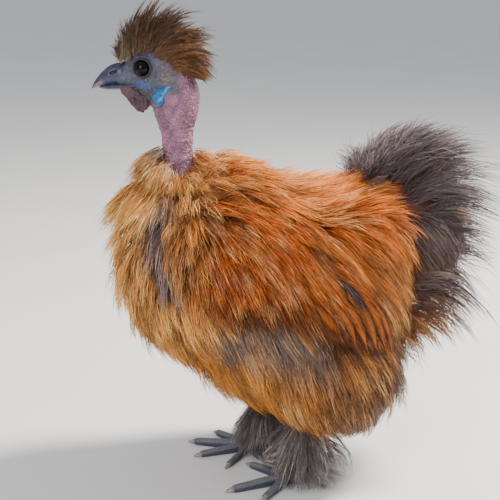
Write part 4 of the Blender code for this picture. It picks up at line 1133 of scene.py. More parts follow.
def crest_lines(number, low, high, draw):
    """Feathers of the crest: bowed lines from the top of the head to near the crest's outline."""
    directions = even_directions(number * 3, draw)
    local = np.array(CRANIUM[0]) + directions * CRANIUM[1]
    keep = (local[:, 2] > np.interp(local[:, 0], *zip(*CREST_EDGE))) & (directions[:, 0] < 0.93)
    local, directions = local[keep], directions[keep]
    brow = np.stack([draw.uniform(0.0030, 0.0140, number // 4), draw.normal(0, 0.0027, number // 4)], axis=1)
    off = ((brow[:, 0] - BROW_MIDDLE) / BROW_LONG) ** 2 + (brow[:, 1] / BROW_WIDE) ** 2
    brow = np.column_stack([brow, BROW_HEIGHT[0] + BROW_HEIGHT[1] * np.sqrt(np.maximum(1 - off, 0))])
    local = np.concatenate([local, brow])
    directions = np.concatenate([directions, unit(brow * (0, 40, 0) + (0.4, 0, 1))])
    number = len(local)
    share = np.interp(local[:, 0], *CREST_PARTS) / (len(CREST_OUTLINE) - 1)
    share = np.clip(share + draw.normal(0, 0.050, number), 0, 1)
    reach_out = draw.uniform(low, high, number) * (1 - 0.22 * np.abs(directions[:, 1]))
    ends_2 = spread_values(CREST_OUTLINE, share)
    roots = local * 0.94 + draw.normal(0, 0.0005, local.shape)
    ends = np.stack([ends_2[:, 0], local[:, 1] * 1.9 + draw.normal(0, 0.0035, number), ends_2[:, 1]], axis=1)
    ends = roots + (ends - roots) * reach_out[:, None]
    length, upward = above(roots, ends, (1e-4, 0, 0))
    bow = spread_values(CREST_BOWS, share) * length * draw.uniform(0.4, 1.5, number)
    lines = arcs(roots, ends, upward * bow[:, None] + draw.normal(0, 0.06, (number, 3)) * length[:, None])
    outs = unit(directions + draw.normal(0, 0.4, directions.shape))
    return on_head(*np.moveaxis(lines, -1, 0)[..., None]), to_vectors(outs), share


def make_crest(material):
    """Fluff over the crown and longer spikes through it: dark, pale at the brow and rusty at the nape."""
    draw = np.random.default_rng(SEED + 31)
    lines, outs, share = crest_lines(CREST_FLUFF_COUNT, 0.42, 0.74, draw)
    number = len(lines)
    front, back = ramp(share, 0.50, 0.15), ramp(share, 0.62, 0.90)
    tip = mix(mix(CREST_DARK, BROWN, draw.random(number) * 0.7), CREST_RUST, back * draw.random(number))
    tip = mix(tip, CREST_BASE * 0.7, front * draw.random(number) * 0.6)
    root = paint(CREST_DARK * 1.2, (CREST_BASE, 0.20 + 0.75 * front), (CREST_RUST, back * 0.35))
    fluff = CREST_FLUFF.grow(lines, outs, root, tip, HEAD_ORIGIN, draw)
    coat_piece("crest_fluff", [fluff], material, ["crest"])
    lines, outs, share = crest_lines(CREST_SPIKE_COUNT, 0.64, 1.18, draw)
    number = len(lines)
    front, back = ramp(share, 0.60, 0.15), ramp(share, 0.62, 0.90)
    tip = mix(CREST_DARK * 0.65, CREST_RUST, back * draw.random(number) ** 2 * 0.8)
    root = mix(CREST_DARK, CREST_BASE, front * 0.6 + draw.random(number) * 0.15)
    spikes = CREST_SPIKES.grow(lines, outs, mix(root, CREST_RUST, back * 0.3), tip, HEAD_ORIGIN, draw)
    coat_piece("crest_spikes", [spikes], material, ["crest"])


def toe_heading(side, degrees):
    """A level direction, in degrees outward from straight ahead."""
    angle = np.radians(degrees)
    return np.stack([-np.cos(angle), SIDES[side] * np.sin(angle), np.zeros_like(angle)], axis=-1)


BOOT_FEATHERS = 330
BOOT_PLUMES = Plumes(13, (0.0, 0.5), (0.40, 0.58), (0.0018, 0.0030), (0.0005, 0.0014), 0.00044, 0.0006, 3)
BOOT_FLOOR = 0.0006  # the lowest point of a barb


def make_boots(material):
    """Feathers from the shank down over the foot, longest behind and on the outer side."""
    number = BOOT_FEATHERS
    for side, sign in SIDES.items():
        draw = np.random.default_rng(SEED + 41 + sign)
        degrees = draw.uniform(0, 360, number)
        heading = toe_heading(side, degrees)
        pad, top = np.array(FOOT_PAD[side]), np.array(SHANK_TOP[side])
        height = draw.uniform(0.02, 0.85, number)
        roots = pad + (top - pad) * height[:, None]
        behind = 0.5 - 0.5 * np.cos(np.radians(degrees - 30))
        outer = np.maximum(np.sin(np.radians(degrees)), 0)
        spread = (0.008 + 0.035 * behind + 0.010 * outer) * draw.uniform(0.35, 1.15, number)
        ends = pad + heading * spread[:, None]
        rise = 0.014 * draw.random(number) * height + 0.012 * (1 - behind) * (1 - outer)
        ends[:, 2] = np.maximum(0.0015, rise)
        lines = arcs(roots, ends, heading * (spread * 0.45)[:, None] + draw.normal(0, 0.0015, (number, 3)))
        tip = mix(BOOT_DARK, BOOT_PALE, draw.random(number) ** 2.2)
        root = mix(BOOT_DARK * 0.8, BROWN, draw.random(number) * 0.6)
        strands = BOOT_PLUMES.grow(lines, unit(heading + (0, 0, 0.8)), root, tip, SHANK_TOP[side], draw)
        strands[0][..., 2] = np.maximum(strands[0][..., 2], BOOT_FLOOR)
        coat_piece(f"boot_{side}", [strands], material, [f"shank_{side}"])


# Flesh


# The head's flesh: middle, radii, degrees of pitch, and how softly it runs into the rest
HEAD_FORMS = [
    (*CRANIUM, 0, 0.004),
    ((0.0050, 0, -0.0040), (0.0150, 0.0082, 0.0085), 12, 0.003),
    ((-0.0070, 0, -0.0110), (0.0165, 0.0105, 0.0080), -12, 0.003),
    ((-0.0205, 0, -0.0200), (0.0148, 0.0130, 0.0260), 0, 0.004),
    ((-0.0060, 0, -0.0175), (0.0110, 0.0070, 0.0080), 0, 0.003),
]
TAIL_FLESH = ((0.103, 0, 0.170), (0.034, 0.022, 0.034))
SHANK_SHARES = (0, 0.35, 0.75, 1)
SHANK_RADII = (0.0052, 0.0043, 0.0046, 0.0058)


def ball(centre, radii, axes=np.eye(3)):
    """An ellipsoid of flesh: its centre, radii and axes as columns."""
    return ("ball", np.array(centre, float), np.array(radii, float), axes)


def head_axes(pitch):
    turn = Matrix.Rotation(math.pi - HEAD_TURN, 3, "Z") @ Matrix.Rotation(math.radians(pitch), 3, "Y")
    return np.array(turn)


def limb(points, radii):
    return ("limb", np.array(points, float), np.array(radii, float), None)


def toe_line(side, toe):
    """The middle line of a toe from the pad to where its claw starts, with its radii."""
    degrees, length, root, end, height = TOES[side][toe]
    start = np.array(FOOT_PAD[side])
    points, radii = [], []
    for t in (0, 0.35, 0.7, 1):
        radius = root + (end - root) * t
        rise = radius * 0.93 if height < root else root + (height - root) * t
        place = start + toe_heading(side, degrees) * length * t
        place[2] = max(rise, start[2] * 0.8 * (1 - 2.2 * t))
        points.append(place)
        radii.append(radius)
    return points, radii


def flesh():
    """The forms of the flesh, each with how softly it runs into the others."""
    forms = [(ball(centre, np.array(radii) - SKIN_DEPTH), 0.008) for centre, radii in COAT_FORMS]
    forms.append((ball(*TAIL_FLESH), 0.006))
    for side in SIDES:
        forms.append((ball(THIGH_CENTRE[side], np.array(THIGH_RADII) - SKIN_DEPTH), 0.008))
        low, top = np.array(FOOT_PAD[side]) + (0, 0, 0.002), np.array(SHANK_TOP[side])
        forms.append((limb([low + (top - low) * share for share in SHANK_SHARES], SHANK_RADII), 0.003))
        forms.append((ball(FOOT_PAD[side], PAD_RADII), 0.002))
        forms += [(limb(*toe_line(side, toe)), 0.0012) for toe in TOES[side]]
    forms.append((limb(NECK_PATH, NECK_RADII), 0.004))
    for middle, radii, pitch, soft in HEAD_FORMS:
        forms.append((ball(on_head(*middle), radii, head_axes(pitch)), soft))
    return forms


def distance(form, points):
    """About how far points are outside one form of flesh."""
    kind, a, b, axes = form
    if kind == "ball":
        local = (points - a) @ axes
        whole = np.linalg.norm(local / b, axis=1)
        return whole * (whole - 1) / np.maximum(np.linalg.norm(local / (b * b), axis=1), 1e-6)
    far = np.full(len(points), 1e3)
    for (start, end), (r, s) in zip(zip(a[:-1], a[1:]), zip(b[:-1], b[1:])):
        step = end - start
        t = np.clip((points - start) @ step / (step @ step), 0, 1)
        far = np.minimum(far, np.linalg.norm(points - start - t[:, None] * step, axis=1) - r - (s - r) * t)
    return far


FORM_REACH = 0.010  # how far from its surface a form still shapes the flesh


def close_to(form, points):
    """The numbers of the points near enough to a form to be shaped by it."""
    kind, a, b = form[:3]
    corners = a[None] if kind == "ball" else a
    margin = b.max() + FORM_REACH
    low, high = corners.min(0) - margin, corners.max(0) + margin
    return np.flatnonzero(((points > low) & (points < high)).all(1))


def all_close_to(forms, points):
    return [close_to(form, points) for form, _ in forms]


def depth_of(forms, near, points):
    """How far points are outside the flesh, with the forms run softly into each other."""
    far = np.full(len(points), 0.05)
    for (form, soft), rows in zip(forms, near):
        other = distance(form, points[rows])
        here = far[rows]
        blend = np.maximum(soft - np.abs(here - other), 0) / soft
        far[rows] = np.minimum(here, other) - blend * blend * soft / 4
    return far


TETRAHEDRON = np.array([(1, -1, -1), (-1, -1, 1), (-1, 1, -1), (1, 1, 1)])
SLOPE_STEP = 0.0002


def slopes(forms, near, points):
    """Outward ways of the flesh, from how far outside it the corners of a small tetrahedron are."""
    return unit(sum(
        corner * depth_of(forms, near, points + corner * SLOPE_STEP)[:, None] for corner in TETRAHEDRON
    ))


def settle(forms, points, rounds):
    """Moves points onto the flesh's surface and gives its outward ways there."""
    near = all_close_to(forms, points)
    for _ in range(rounds):
        slope = slopes(forms, near, points)
        points = points - slope * depth_of(forms, near, points)[:, None]
    return points, slope


POLE_GAP = 0.02  # radians from a ball's pole to its first ring
BALL_ACROSS, BALL_ROWS = 28, 18
BALLS_IN_LIMB = 6  # for each straight part


def round_ball():
    """Points and corners of a unit ball."""
    across, rows = BALL_ACROSS, BALL_ROWS
    up = np.cos(np.linspace(POLE_GAP, math.pi - POLE_GAP, rows))[:, None]
    turn = np.arange(across) * 2 * math.pi / across
    level = np.sqrt(1 - up * up)
    points = np.stack([level * np.cos(turn), level * np.sin(turn), np.repeat(up, across, 1)], axis=-1)
    here = np.arange((rows - 1) * across)
    beside = here - here % across + (here + 1) % across
    faces = np.stack([here, here + across, beside + across, beside], axis=1).tolist()
    first, last = list(range(across)), list(range(rows * across - 1, (rows - 1) * across - 1, -1))
    return points.reshape(-1, 3), faces + [first, last]


def rough_flesh(forms):
    """The forms as overlapping closed balls in one object."""
    balls = []
    for (kind, a, b, axes), _ in forms:
        if kind == "ball":
            balls.append((a, axes * b))
            continue
        for start, end, r, s in zip(a[:-1], a[1:], b[:-1], b[1:]):
            for t in np.linspace(0, 1, BALLS_IN_LIMB):
                balls.append((start + (end - start) * t, np.eye(3) * (r + (s - r) * t)))
    points, faces = round_ball()
    every = np.concatenate([points @ shape.T + centre for centre, shape in balls])
    firsts = range(0, len(every), len(points))
    mesh = bpy.data.meshes.new("skin")
    corners = [[first + corner for corner in face] for first in firsts for face in faces]
    mesh.from_pydata(every.tolist(), [], corners)
    return in_scene(bpy.data.objects.new("skin", mesh))


def applied(made):
    """Turns an object's modifiers into its mesh."""
    graph = bpy.context.evaluated_depsgraph_get()
    mesh = bpy.data.meshes.new_from_object(made.evaluated_get(graph))
    made.modifiers.clear()
    made.data = mesh
    return made


def mesh_points(mesh):
    points = np.zeros(len(mesh.vertices) * 3, np.float32)
    mesh.vertices.foreach_get("co", points)
    return points.reshape(-1, 3).astype(float)


def refine(made, chosen):
    """Splits the edges whose middle a test chooses."""
    shape = bmesh.new()
    shape.from_mesh(made.data)
    middles = np.array([(edge.verts[0].co + edge.verts[1].co) / 2 for edge in shape.edges])
    picked = [edge for edge, pick in zip(shape.edges, chosen(middles)) if pick]
    bmesh.ops.subdivide_edges(shape, edges=picked, cuts=1, use_grid_fill=True)
    shape.to_mesh(made.data)
    shape.free()


def near_face(points):
    """The head and the uppermost part of the neck."""
    return in_head(points)[:, 2] > -0.030


def near_eyes(points):
    forward, left, up = in_head(points).T
    return (np.hypot(forward + 0.003, up + 0.001) < 0.0115) & (np.abs(left) > 0.004)


def bare(points):
    """The skin that shows, of head, neck and feet, and a little way on under the coat."""
    x, y, z = points.T
    return ((z > 0.198) & (np.hypot(x + 0.050, y) < 0.045)) | (z > 0.24) | (z < 0.045)


def face_relief(points):
    """How far the face's skin stands out: the lids, the folds round the eye and the ear."""
    forward, left, up = in_head(points).T
    from_eye = np.hypot(forward, up)
    lids = 0.0011 * bell(from_eye, 0.0056, 0.00062)
    lids += 0.0004 * bell(from_eye, 0.0076, 0.00050)
    lids -= 0.0003 * bell(from_eye, 0.0066, 0.00045)
    lids -= 0.0022 * ramp(from_eye, 0.0049, 0.0042)
    ear = np.hypot(forward + 0.0140, up + 0.0072)
    hollow = 0.0004 * bell(ear, 0.0032, 0.0008) - 0.0009 * bell(ear, 0, 0.0020)
    return ramp(np.abs(left), 0.006, 0.010) * (lids + hollow)


def neck_relief(points):
    """Shallow folds and slanting lines of the bare neck."""
    x, z = points[:, 0], points[:, 2]
    bared = ramp(z, 0.205, 0.215) * ramp(z, 0.268, 0.255)
    folds = waves(points * (1.0, 1.0, 1.7), 0.0050, 5) * 0.00022
    slant = np.sin((z * 0.8 + x) * 2 * math.pi / 0.0042 + 2 * waves(points, 0.012, 6)) * 0.00010
    return bared * (folds + slant)


SCUTE = 0.0021  # length of a scale across a toe


def foot_relief(points):
    """Scutes across the top of each toe, from 0 in the grooves to 1 on the ridges, and 0.6 between them on
    the tops that face up; skin_marks paints this pale as a painted highlight.
    """
    raised = np.zeros(len(points))
    for side in SIDES:
        for toe in TOES[side]:
            line, _ = toe_line(side, toe)
            step = line[-1] - line[0]
            t = np.clip((points - line[0]) @ step / (step @ step), 0, 1)
            away = points - line[0] - t[:, None] * step
            near = np.linalg.norm(away, axis=1) < 0.006
            upward = unit(away)[:, 2]
            ridge = np.abs(np.sin(t * np.linalg.norm(step) * math.pi / SCUTE)) ** 0.6
            # 0.6 on the tops that face up: a painted highlight
            lit_top = 0.6 * ramp(upward, 0.70, 0.95)
            height = ridge * ramp(upward, 0.0, 0.5) + lit_top * (1 - ridge)
            raised = np.where(near & (t > 0.12), np.maximum(raised, height), raised)
    return raised


def face_marks(points):
    """The face's colours: slate blue, purple over the eye, a pale blue cheek, specks, dark grey lids and
    painted shade in the creases of the lids.
    """
    forward, left, up = in_head(points).T
    out = np.abs(left)
    cheek = ((forward + 0.0018) / 0.0052) ** 2 + ((up + 0.0113 - 0.22 * (forward + 0.0018)) / 0.0024) ** 2
    cheek = ramp(cheek + 0.5 * waves(points, 0.0030, 14), 1.3, 0.6)
    face = paint(
        FACE_SLATE,
        (EAR_GREY, ramp(forward, -0.008, -0.016) * ramp(up, -0.016, -0.008)),
        (FACE_PURPLE, bell(np.hypot(forward + 0.003, up - 0.0075), 0, 0.0045) * 0.9),
        (FACE_BLUE, cheek * 0.85),
    )
    specks = ramp(waves(points, 0.0016, 15), 0.35, 0.8) * ramp(out, 0.004, 0.008)
    from_eye = np.hypot(forward, up)
    lid = ramp(out, 0.007, 0.010) * ramp(from_eye, 0.0100, 0.0080)
    return paint(
        face * (1 + 0.22 * waves(points, 0.0034, 16))[:, None],
        (LID_DARK, specks * 0.35),
        (FOOT_PALE, ramp(waves(points, 0.0014, 18), 0.55, 0.90) * 0.35),
        (LID_GREY, lid * 0.5),
        # dark rings where the lid meets the eye and in the fold round the lid: painted shade in these creases
        (LID_DARK, lid * bell(from_eye, 0.0051, 0.00055)),
        (LID_DARK, lid * bell(from_eye, 0.0067, 0.00045) * 0.8),
        (JAW_BROWN, ramp(up, -0.0135, -0.0165) * ramp(forward, -0.020, -0.006) * 0.7),
    )


def skin_marks(points, raised):
    """The skin's colour and relief: face, neck, feet, and what lies under the coat."""
    forward, _, up = in_head(points).T
    x, y, z = points.T
    neck = mix(NECK_PINK, NECK_DARK, 0.5 + 0.5 * waves(points, 0.010, 12))
    is_neck = ramp(up, -0.0120, -0.0180) * ramp(forward, -0.004, -0.012)
    is_neck = np.maximum(is_neck, ramp(forward, -0.0215, -0.0275) * ramp(up, 0.0, -0.006))
    neck_base = ramp(z, 0.200, 0.208) * ramp(np.hypot(x + 0.05, y), 0.036, 0.026)
    tints = paint(
        # under the coat, the coat's colours darkened: painted shade of the coat's depths
        mix(*coat_marks(points), 0.35) * 0.55,
        (mix(face_marks(points), neck, is_neck), np.maximum(neck_base, ramp(z, 0.23, 0.24))),
        # the feet: slate, paler on the scute ridges and on the tops that face up, a painted highlight
        (mix(FOOT_SLATE, FOOT_PALE, raised * 0.65), ramp(z, 0.060, 0.045)),
    )
    pebbles = is_neck * ramp(z, 0.20, 0.21) * 0.9 + 0.15
    wrinkles = 0.35 + 0.3 * is_neck
    return tints, np.column_stack([pebbles, wrinkles, np.zeros(len(points))])


SKIN_VOXEL = 0.0013
SKIN_KEPT = 0.30  # share of the hidden skin's faces that stay
SKIN_FLOOR = 0.0002  # the lowest point of the feet


def coarser_where_hidden(made):
    """Fewer and larger faces in the skin that the coat hides."""
    hidden = made.vertex_groups.new(name="hidden")
    rows = np.flatnonzero(~bare(mesh_points(made.data)))
    hidden.add(rows.tolist(), 1.0, "REPLACE")
    step = made.modifiers.new("Decimate", "DECIMATE")
    step.ratio = SKIN_KEPT
    step.vertex_group = "hidden"
    applied(made)
    made.vertex_groups.clear()


def make_skin(material):
    forms = flesh()
    made = rough_flesh(forms)
    remesh = made.modifiers.new("Remesh", "REMESH")
    remesh.mode = "VOXEL"
    remesh.voxel_size = SKIN_VOXEL
    applied(made)
    coarser_where_hidden(made)
    refine(made, bare)
    points, _ = settle(forms, mesh_points(made.data), 3)
    made.data.vertices.foreach_set("co", points.astype(np.float32).ravel())
    refine(made, near_eyes)
    points, normals = settle(forms, mesh_points(made.data), 1)
    raised = foot_relief(points)
    sideways = ASIDE * np.sign(in_head(points)[:, 1:2])
    points = points + sideways * (face_relief(points) * near_face(points))[:, None]
    points = points + normals * (neck_relief(points) + raised * 0.0003)[:, None]
    tints, relief = skin_marks(points, raised)
    points[:, 2] = np.maximum(points[:, 2], SKIN_FLOOR)
    made.data.vertices.foreach_set("co", (points + MOVE).astype(np.float32).ravel())
    write_colours(made.data, tints)
    write_colours(made.data, relief, "relief")
    made.data.shade_smooth()
    made.data.materials.clear()
    made.data.materials.append(material)
    dress(made, ["head", "neck", "foot_left", "foot_right"])


# Beak, eyes, wattles, lobes and bristles

# Beak sections along its middle line: forward, up, half height, half width
BEAK_UPPER = [
    (0.0070, -0.0036, 0.0070, 0.0072), (0.0110, -0.0041, 0.0069, 0.0067), (0.0160, -0.0046, 0.0067, 0.0059),
    (0.0215, -0.0056, 0.0060, 0.0047), (0.0265, -0.0078, 0.0044, 0.0033), (0.0305, -0.0104, 0.0026, 0.0019),
    (0.0329, -0.0128, 0.0011, 0.0009), (0.0337, -0.0139, 0.0002, 0.0002),
]
BEAK_LOWER = [
    (0.0030, -0.0116, 0.0030, 0.0064), (0.0080, -0.0118, 0.0028, 0.0058), (0.0140, -0.0121, 0.0025, 0.0048),
    (0.0200, -0.0125, 0.0021, 0.0036), (0.0255, -0.0130, 0.0014, 0.0022), (0.0292, -0.0133, 0.0002, 0.0003),
]
NOSTRIL = (0.0192, -0.0030)
NOSTRIL_SIZE = (0.0026, 0.0009)
NOSTRIL_PITCH = math.radians(24)
BEAK_SLATE = colour(34, 38, 64)
BEAK_LIGHT = colour(58, 62, 88)
BEAK_TIP = colour(140, 116, 112)
BEAK_SHADE = colour(12, 11, 14)


def spline(values, count):
    """A smooth run of values through a short list."""
    values = np.array(values, float)
    padded = np.concatenate([[2 * values[0] - values[1]], values, [2 * values[-1] - values[-2]]])
    at = np.linspace(0, len(values) - 1, count)
    low = np.minimum(at.astype(int), len(values) - 2)
    t = (at - low)[:, None]
    a, b, c, d = (padded[low + step] for step in range(4))
    square, cube = 2 * a - 5 * b + 4 * c - d, 3 * b - a - 3 * c + d
    return 0.5 * (2 * b + (c - a) * t + square * t ** 2 + cube * t ** 3)


def tube_faces(rows, across):
    """Quads between rings of a tube, with its two ends closed."""
    grid = np.arange(rows * across).reshape(rows, across)
    beside = np.roll(grid, -1, axis=1)
    quads = np.stack([grid[:-1], grid[1:], beside[1:], beside[:-1]], -1).reshape(-1, 4)
    return [quads[:, ::-1], grid[0][None, :], grid[-1][None, ::-1]]


def nostril_marks(along, height):
    """How deep in the nostril's slot, and how near its rim, places on the beak are."""
    ahead, above_it = along - NOSTRIL[0], height - NOSTRIL[1]
    turn = (math.cos(NOSTRIL_PITCH), math.sin(NOSTRIL_PITCH))
    slot_long = (ahead * turn[0] - above_it * turn[1]) / NOSTRIL_SIZE[0]
    slot_high = (above_it * turn[0] + ahead * turn[1]) / NOSTRIL_SIZE[1]
    hole = np.exp(-(slot_long ** 2 + slot_high ** 2) ** 2)
    return hole, bell(np.hypot(slot_long, slot_high), 1.45, 0.35)


BEAK_ROWS, BEAK_ACROSS = 64, 48
GROWTH_LINE = 0.0011  # from one growth line of the horn to the next


def beak_half(name, sections, keel, material):
    """One half of the beak: a ridge along its top or keel, nostrils, growth lines, a tip pale from wear, and
    painted shade in the nostrils and along the mouth line.
    """
    forward, up, tall, wide = (column[:, None] for column in spline(sections, BEAK_ROWS).T)
    turn = np.arange(BEAK_ACROSS) * 2 * math.pi / BEAK_ACROSS
    side, rise = np.cos(turn)[None, :], np.sin(turn)[None, :]
    flat = np.sign(rise) * np.abs(rise) ** np.where(rise * keel < 0, 1.6, 1.0)
    along = np.repeat(forward, BEAK_ACROSS, 1)
    lift = tall * flat * (1 + 0.10 * bell(rise, keel, 0.25))
    height = up + lift
    hole, rim = (share * (keel > 0) for share in nostril_marks(along, height))
    out = wide * side * (1 - 0.12 * np.abs(rise) ** 3) * (1 - 0.42 * hole + 0.03 * rim)
    lines = np.sin(along * 2 * math.pi / GROWTH_LINE + 3 * np.sin(height * 900)) * 0.00003
    points = head_points(along, out + np.sign(out) * lines, height)
    # dark along the mouth line, where the two halves meet: painted shade
    edge = np.broadcast_to(ramp(flat * keel, -0.84, -1.0), along.shape)
    tint = paint(
        mix(BEAK_SLATE, BEAK_LIGHT, 0.35 + 0.35 * waves(points, 0.007, 33)),
        (BEAK_TIP, (ramp(along, 0.0235, 0.0310) * ramp(lift, 0.0008, -0.0015)).ravel() * 0.85),
        (BEAK_SHADE, edge.ravel() * 0.92),
        # the nostril's slot near black: painted shade in the opening
        (BEAK_SHADE, hole.ravel()),
    )
    solid_piece(name + "_horn", points, tube_faces(BEAK_ROWS, BEAK_ACROSS), tint, material, [name])


def make_claws():
    horn = claw_material()
    for side in SIDES:
        for toe in TOES[side]:
            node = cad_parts[f"claw_{side}_{toe}"]
            node.data.materials.clear()
            node.data.materials.append(horn)


EYE_BLACK = colour(3, 3, 4)
EYE_BROWN = colour(18, 12, 8)
EYE_ROWS, EYE_ACROSS = 40, 48


def make_eyes():
    """Near-black eyes: a clear bulging front over a wide pupil and a thin dark brown ring."""
    wet = eye_material()
    down = np.linspace(POLE_GAP, math.pi - POLE_GAP, EYE_ROWS)[:, None]
    turn = np.arange(EYE_ACROSS) * 2 * math.pi / EYE_ACROSS
    bulge = EYE_RADIUS * (0.985 + 0.05 * np.exp(-(down / 0.62) ** 4))
    level, out = bulge * np.sin(down), EYE_OUT + bulge * np.cos(down)
    ring = np.repeat(down, EYE_ACROSS)
    tint = mix(EYE_BLACK, EYE_BROWN, ramp(ring, 0.50, 0.56) * ramp(ring, 0.86, 0.78))
    for side, sign in SIDES.items():
        points = head_points(level * np.cos(turn), -sign * out, level * np.sin(turn))
        faces = tube_faces(EYE_ROWS, EYE_ACROSS)
        solid_piece(f"eyeball_{side}", points, faces, tint, wet, [f"eye_{side}"])


# Outlines of the wattle and the earlobe, forward and up
WATTLE_OUTLINE = [
    (0.0142, -0.0112), (0.0142, -0.0160), (0.0108, -0.0202), (0.0078, -0.0240), (0.0042, -0.0274),
    (-0.0004, -0.0286), (-0.0040, -0.0262), (-0.0046, -0.0222), (-0.0008, -0.0180), (0.0050, -0.0142),
    (0.0104, -0.0116),
]
LOBE_OUTLINE = [
    (-0.0113, -0.0127), (-0.0150, -0.0123), (-0.0184, -0.0118), (-0.0177, -0.0140), (-0.0154, -0.0166),
    (-0.0145, -0.0197), (-0.0137, -0.0230), (-0.0112, -0.0248), (-0.0084, -0.0224), (-0.0060, -0.0184),
    (-0.0080, -0.0148),
]
MULBERRY = colour(84, 50, 66)
MULBERRY_DARK = colour(52, 32, 42)
TURQUOISE = colour(0, 104, 166)
TURQUOISE_HIGHLIGHT = colour(84, 196, 230)
TURQUOISE_SHADE = colour(12, 62, 116)


PAD_THICKNESS = 0.0036
PAD_ACROSS, PAD_ROWS = 72, 22


def pad(name, outline, middle_out, lean, marks, material, side, slot):
    """A soft flat pad of skin beside the head: a crowned form within a rounded outline."""
    edge = spline(outline + outline[:1], PAD_ACROSS + 1)[:-1]
    centre = edge.mean(0)
    lumps = waves(np.column_stack([edge, np.zeros(PAD_ACROSS)]), 0.0052, 43)
    edge = centre + (edge - centre) * (1 + 0.09 * lumps)[:, None]
    share = np.sin(np.linspace(0, math.pi / 2, PAD_ROWS))[1:]
    way = np.repeat((1, -1), (len(share), len(share) - 1))
    share = np.concatenate([share, share[-2::-1]])
    crown = way * PAD_THICKNESS / 2 * np.sqrt(np.maximum(1 - share ** 2.4, 0))
    flat = (centre + (edge - centre) * share[:, None, None]).reshape(-1, 2)
    out = np.repeat(crown, PAD_ACROSS)
    level = np.column_stack([flat, np.zeros(len(flat))])
    folds = waves(level, 0.0028, 41) * 0.00022 + waves(level, 0.0011, 42) * 0.00008
    beside = middle_out + out * (1 + folds * 900) + (centre[1] - flat[:, 1]) * lean
    points = head_points(flat[:, 0], -SIDES[side] * beside, flat[:, 1])
    faces = tube_faces(len(share), PAD_ACROSS)
    solid_piece(name, points, faces, marks(flat, folds), material, [f"{slot}_{side}"])


def wattle_marks(flat, folds):
    # darker in the hollows of the folds and lighter on their crests: painted shade and highlight
    tint = mix(MULBERRY, MULBERRY_DARK, np.clip(0.5 - folds * 2200, 0, 1))
    return mix(tint, JAW_BROWN * 1.1, ramp(flat[:, 1] + flat[:, 0] * 0.55, -0.0155, -0.0120) * 0.7)


def lobe_marks(flat, folds):
    # a pale diagonal strip over the lobe's upper part: painted highlight
    strip = np.exp(-((flat[:, 0] + 0.0140 + (flat[:, 1] + 0.0165) * 0.62) / 0.0011) ** 2)
    tint = mix(TURQUOISE, TURQUOISE_HIGHLIGHT, strip * ramp(flat[:, 1], -0.0225, -0.0190) * 0.7)
    # darker toward the forward edge and in the hollows of the folds: painted shade
    rim = ramp(flat[:, 0] + flat[:, 1] * 0.2, -0.0125, -0.0108)
    return mix(tint, TURQUOISE_SHADE, rim * 0.5 + np.clip(0.15 - folds * 1500, 0, 0.5))


def make_wattles_and_lobes():
    wattle, lobe = pad_material("wattle_skin", 0.50), pad_material("lobe_skin", 0.42)
    for side in SIDES:
        pad(f"wattle_flap_{side}", WATTLE_OUTLINE, 0.0056, 0.10, wattle_marks, wattle, side, "wattle")
        pad(f"ear_pad_{side}", LOBE_OUTLINE, 0.0123, 0.02, lobe_marks, lobe, side, "earlobe")


def land_on_skin(starts, way):
    """Where lines from outside the head first meet the flesh, and which of them do."""
    forms = flesh()
    places = starts.copy()
    for _ in range(24):
        far = depth_of(forms, all_close_to(forms, places), places)
        places = places + way * np.maximum(far, 0)[:, None] * 0.8
    return places, far < 0.0005


EAR_BRISTLES, FACE_BRISTLES, JAW_BRISTLES = 46, 150, 90
# The jaw's line: shares of its length, and forward and up there
JAW_SHARES = (0, 0.3, 0.65, 1)
JAW_FORWARD = (0.0135, 0.0094, 0.0021, -0.0053)
JAW_UP = (-0.0112, -0.0122, -0.0152, -0.0215)
OUTSIDE_HEAD = 0.030  # farther from the head's middle plane than any flesh of it
BRISTLE_STEPS = 5
BRISTLE_WIDTH = 0.00028


def bristle_places(draw):
    """Forward and up of the bristles on one side, with none on the eye or where the wattle hangs."""
    along = draw.random(JAW_BRISTLES)
    forward = np.concatenate([
        draw.normal(-0.0140, 0.0014, EAR_BRISTLES), draw.uniform(-0.022, 0.010, FACE_BRISTLES),
        np.interp(along, JAW_SHARES, JAW_FORWARD),
    ])
    up = np.concatenate([
        draw.normal(-0.0070, 0.0012, EAR_BRISTLES), draw.uniform(-0.016, 0.003, FACE_BRISTLES),
        np.interp(along, JAW_SHARES, JAW_UP),
    ])
    up[-JAW_BRISTLES:] += draw.normal(0, 0.0008, JAW_BRISTLES)
    clear = (np.hypot(forward, up) > 0.0082) & ((up > -0.0135) | (forward > -0.006))
    return forward[clear], up[clear]


def make_bristles(material):
    """Short bristles of the face: a pale tuft over each ear, and scattered hairs round it and the jaw."""
    for side, sign in SIDES.items():
        draw = np.random.default_rng(SEED + 51 + sign)
        forward, up = bristle_places(draw)
        number = len(forward)
        tuft = np.hypot(forward + 0.014, up + 0.007) < 0.0035
        roots, landed = land_on_skin(head_points(forward, -sign * OUTSIDE_HEAD, up), ASIDE * sign)
        length = np.where(tuft, 0.0036, 0.0019) * draw.uniform(0.6, 1.3, number)
        way = to_vectors(unit(np.array((-0.75, -sign * 0.50, -0.15)) + draw.normal(0, 0.28, (number, 3))))
        outs = np.tile(-ASIDE * sign, (number, 1))
        bows = outs * (length * 0.15)[:, None]
        lines = arcs(roots - outs * 0.0003, roots + way * length[:, None], bows, BRISTLE_STEPS)
        tint = mix(BRISTLE_DARK, BRISTLE_PALE, draw.random(number) ** 2 * 0.8)
        tints = np.repeat(np.where(tuft[:, None], BRISTLE_PALE, tint)[:, None], BRISTLE_STEPS, axis=1)
        rows = (lines, outs, np.full(number, BRISTLE_WIDTH), tints, unwrap(roots, HEAD_ORIGIN))
        made = strand_object(f"bristles_{side}", *(row[landed] for row in rows), material)
        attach(made, "root")


# Camera, light and floor

AZIMUTH = math.radians(-12)
ELEVATION = math.radians(13)
DISTANCE = 0.85
LOOK_AT = np.array((0, 0, 0.157))
LENS_MM = 90
SENSOR_MM = 36
LIT_PLACE = (0, 0, 0.15)  # what the lights point at
FLOOR_HALF = 20


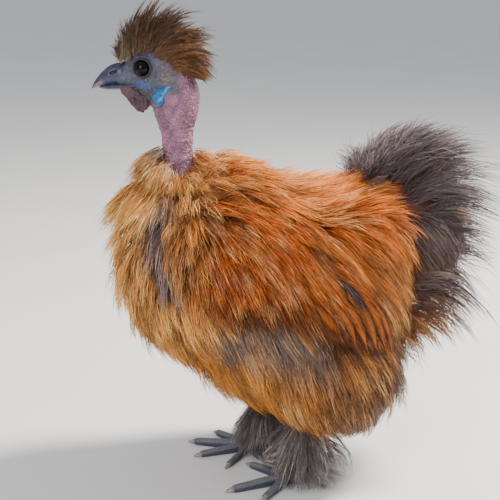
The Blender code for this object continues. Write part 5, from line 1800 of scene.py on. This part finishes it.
def make_camera():
    back = np.array((
        math.sin(AZIMUTH) * math.cos(ELEVATION), -math.cos(AZIMUTH) * math.cos(ELEVATION), math.sin(ELEVATION)
    ))
    data = bpy.data.cameras.new("camera")
    data.lens = LENS_MM
    data.sensor_width = SENSOR_MM
    camera = in_scene(bpy.data.objects.new("camera", data))
    camera.location = Vector(LOOK_AT + MOVE + back * DISTANCE)
    camera.rotation_euler = Vector(back).to_track_quat("Z", "Y").to_euler()
    bpy.context.scene.camera = camera


def area_light(name, place, size, power, tint):
    data = bpy.data.lights.new(name, "AREA")
    data.shape = "DISK"
    data.size = size
    data.energy = power
    data.color = tint
    light = in_scene(bpy.data.objects.new(name, data))
    light.location = Vector(place)
    light.rotation_euler = (Vector(place) - Vector(LIT_PLACE)).to_track_quat("Z", "Y").to_euler()


def make_studio():
    world = bpy.data.worlds.new("studio")
    bpy.context.scene.world = world
    world.use_nodes = True
    sky = world.node_tree.nodes["Background"].inputs
    sky["Color"].default_value = (0.92, 0.95, 1.0, 1)
    sky["Strength"].default_value = 0.60
    area_light("key", (0.85, 0.12, 1.25), 0.40, 56, (1.0, 0.94, 0.84))
    area_light("front", (-0.8, -1.3, 0.9), 1.1, 22, (1.0, 0.98, 0.95))
    corners = np.array([(-1, -1, 0), (1, -1, 0), (1, 1, 0), (-1, 1, 0)]) * FLOOR_HALF - MOVE * (1, 1, 0)
    floor = new_object("floor", corners, [np.array([(0, 1, 2, 3)])], floor_material(), False)


def main():
    make_camera()
    make_studio()
    plumage = plumage_material("plumage", 0.60)
    make_skin(skin_material())
    make_body_coat(plumage)
    make_wings(plumage)
    make_flights(plumage_material("vane", 0.55))
    make_thighs(plumage)
    make_ruff(plumage)
    make_tail_base(plumage)
    make_tail(plumage)
    make_crest(plumage)
    make_boots(plumage)
    horn = horn_material("beak_horn", 0.36)
    beak_half("beak_upper", BEAK_UPPER, 1, horn)
    beak_half("beak_lower", BEAK_LOWER, -1, horn)
    make_claws()
    make_eyes()
    make_wattles_and_lobes()
    make_bristles(plumage)


main()
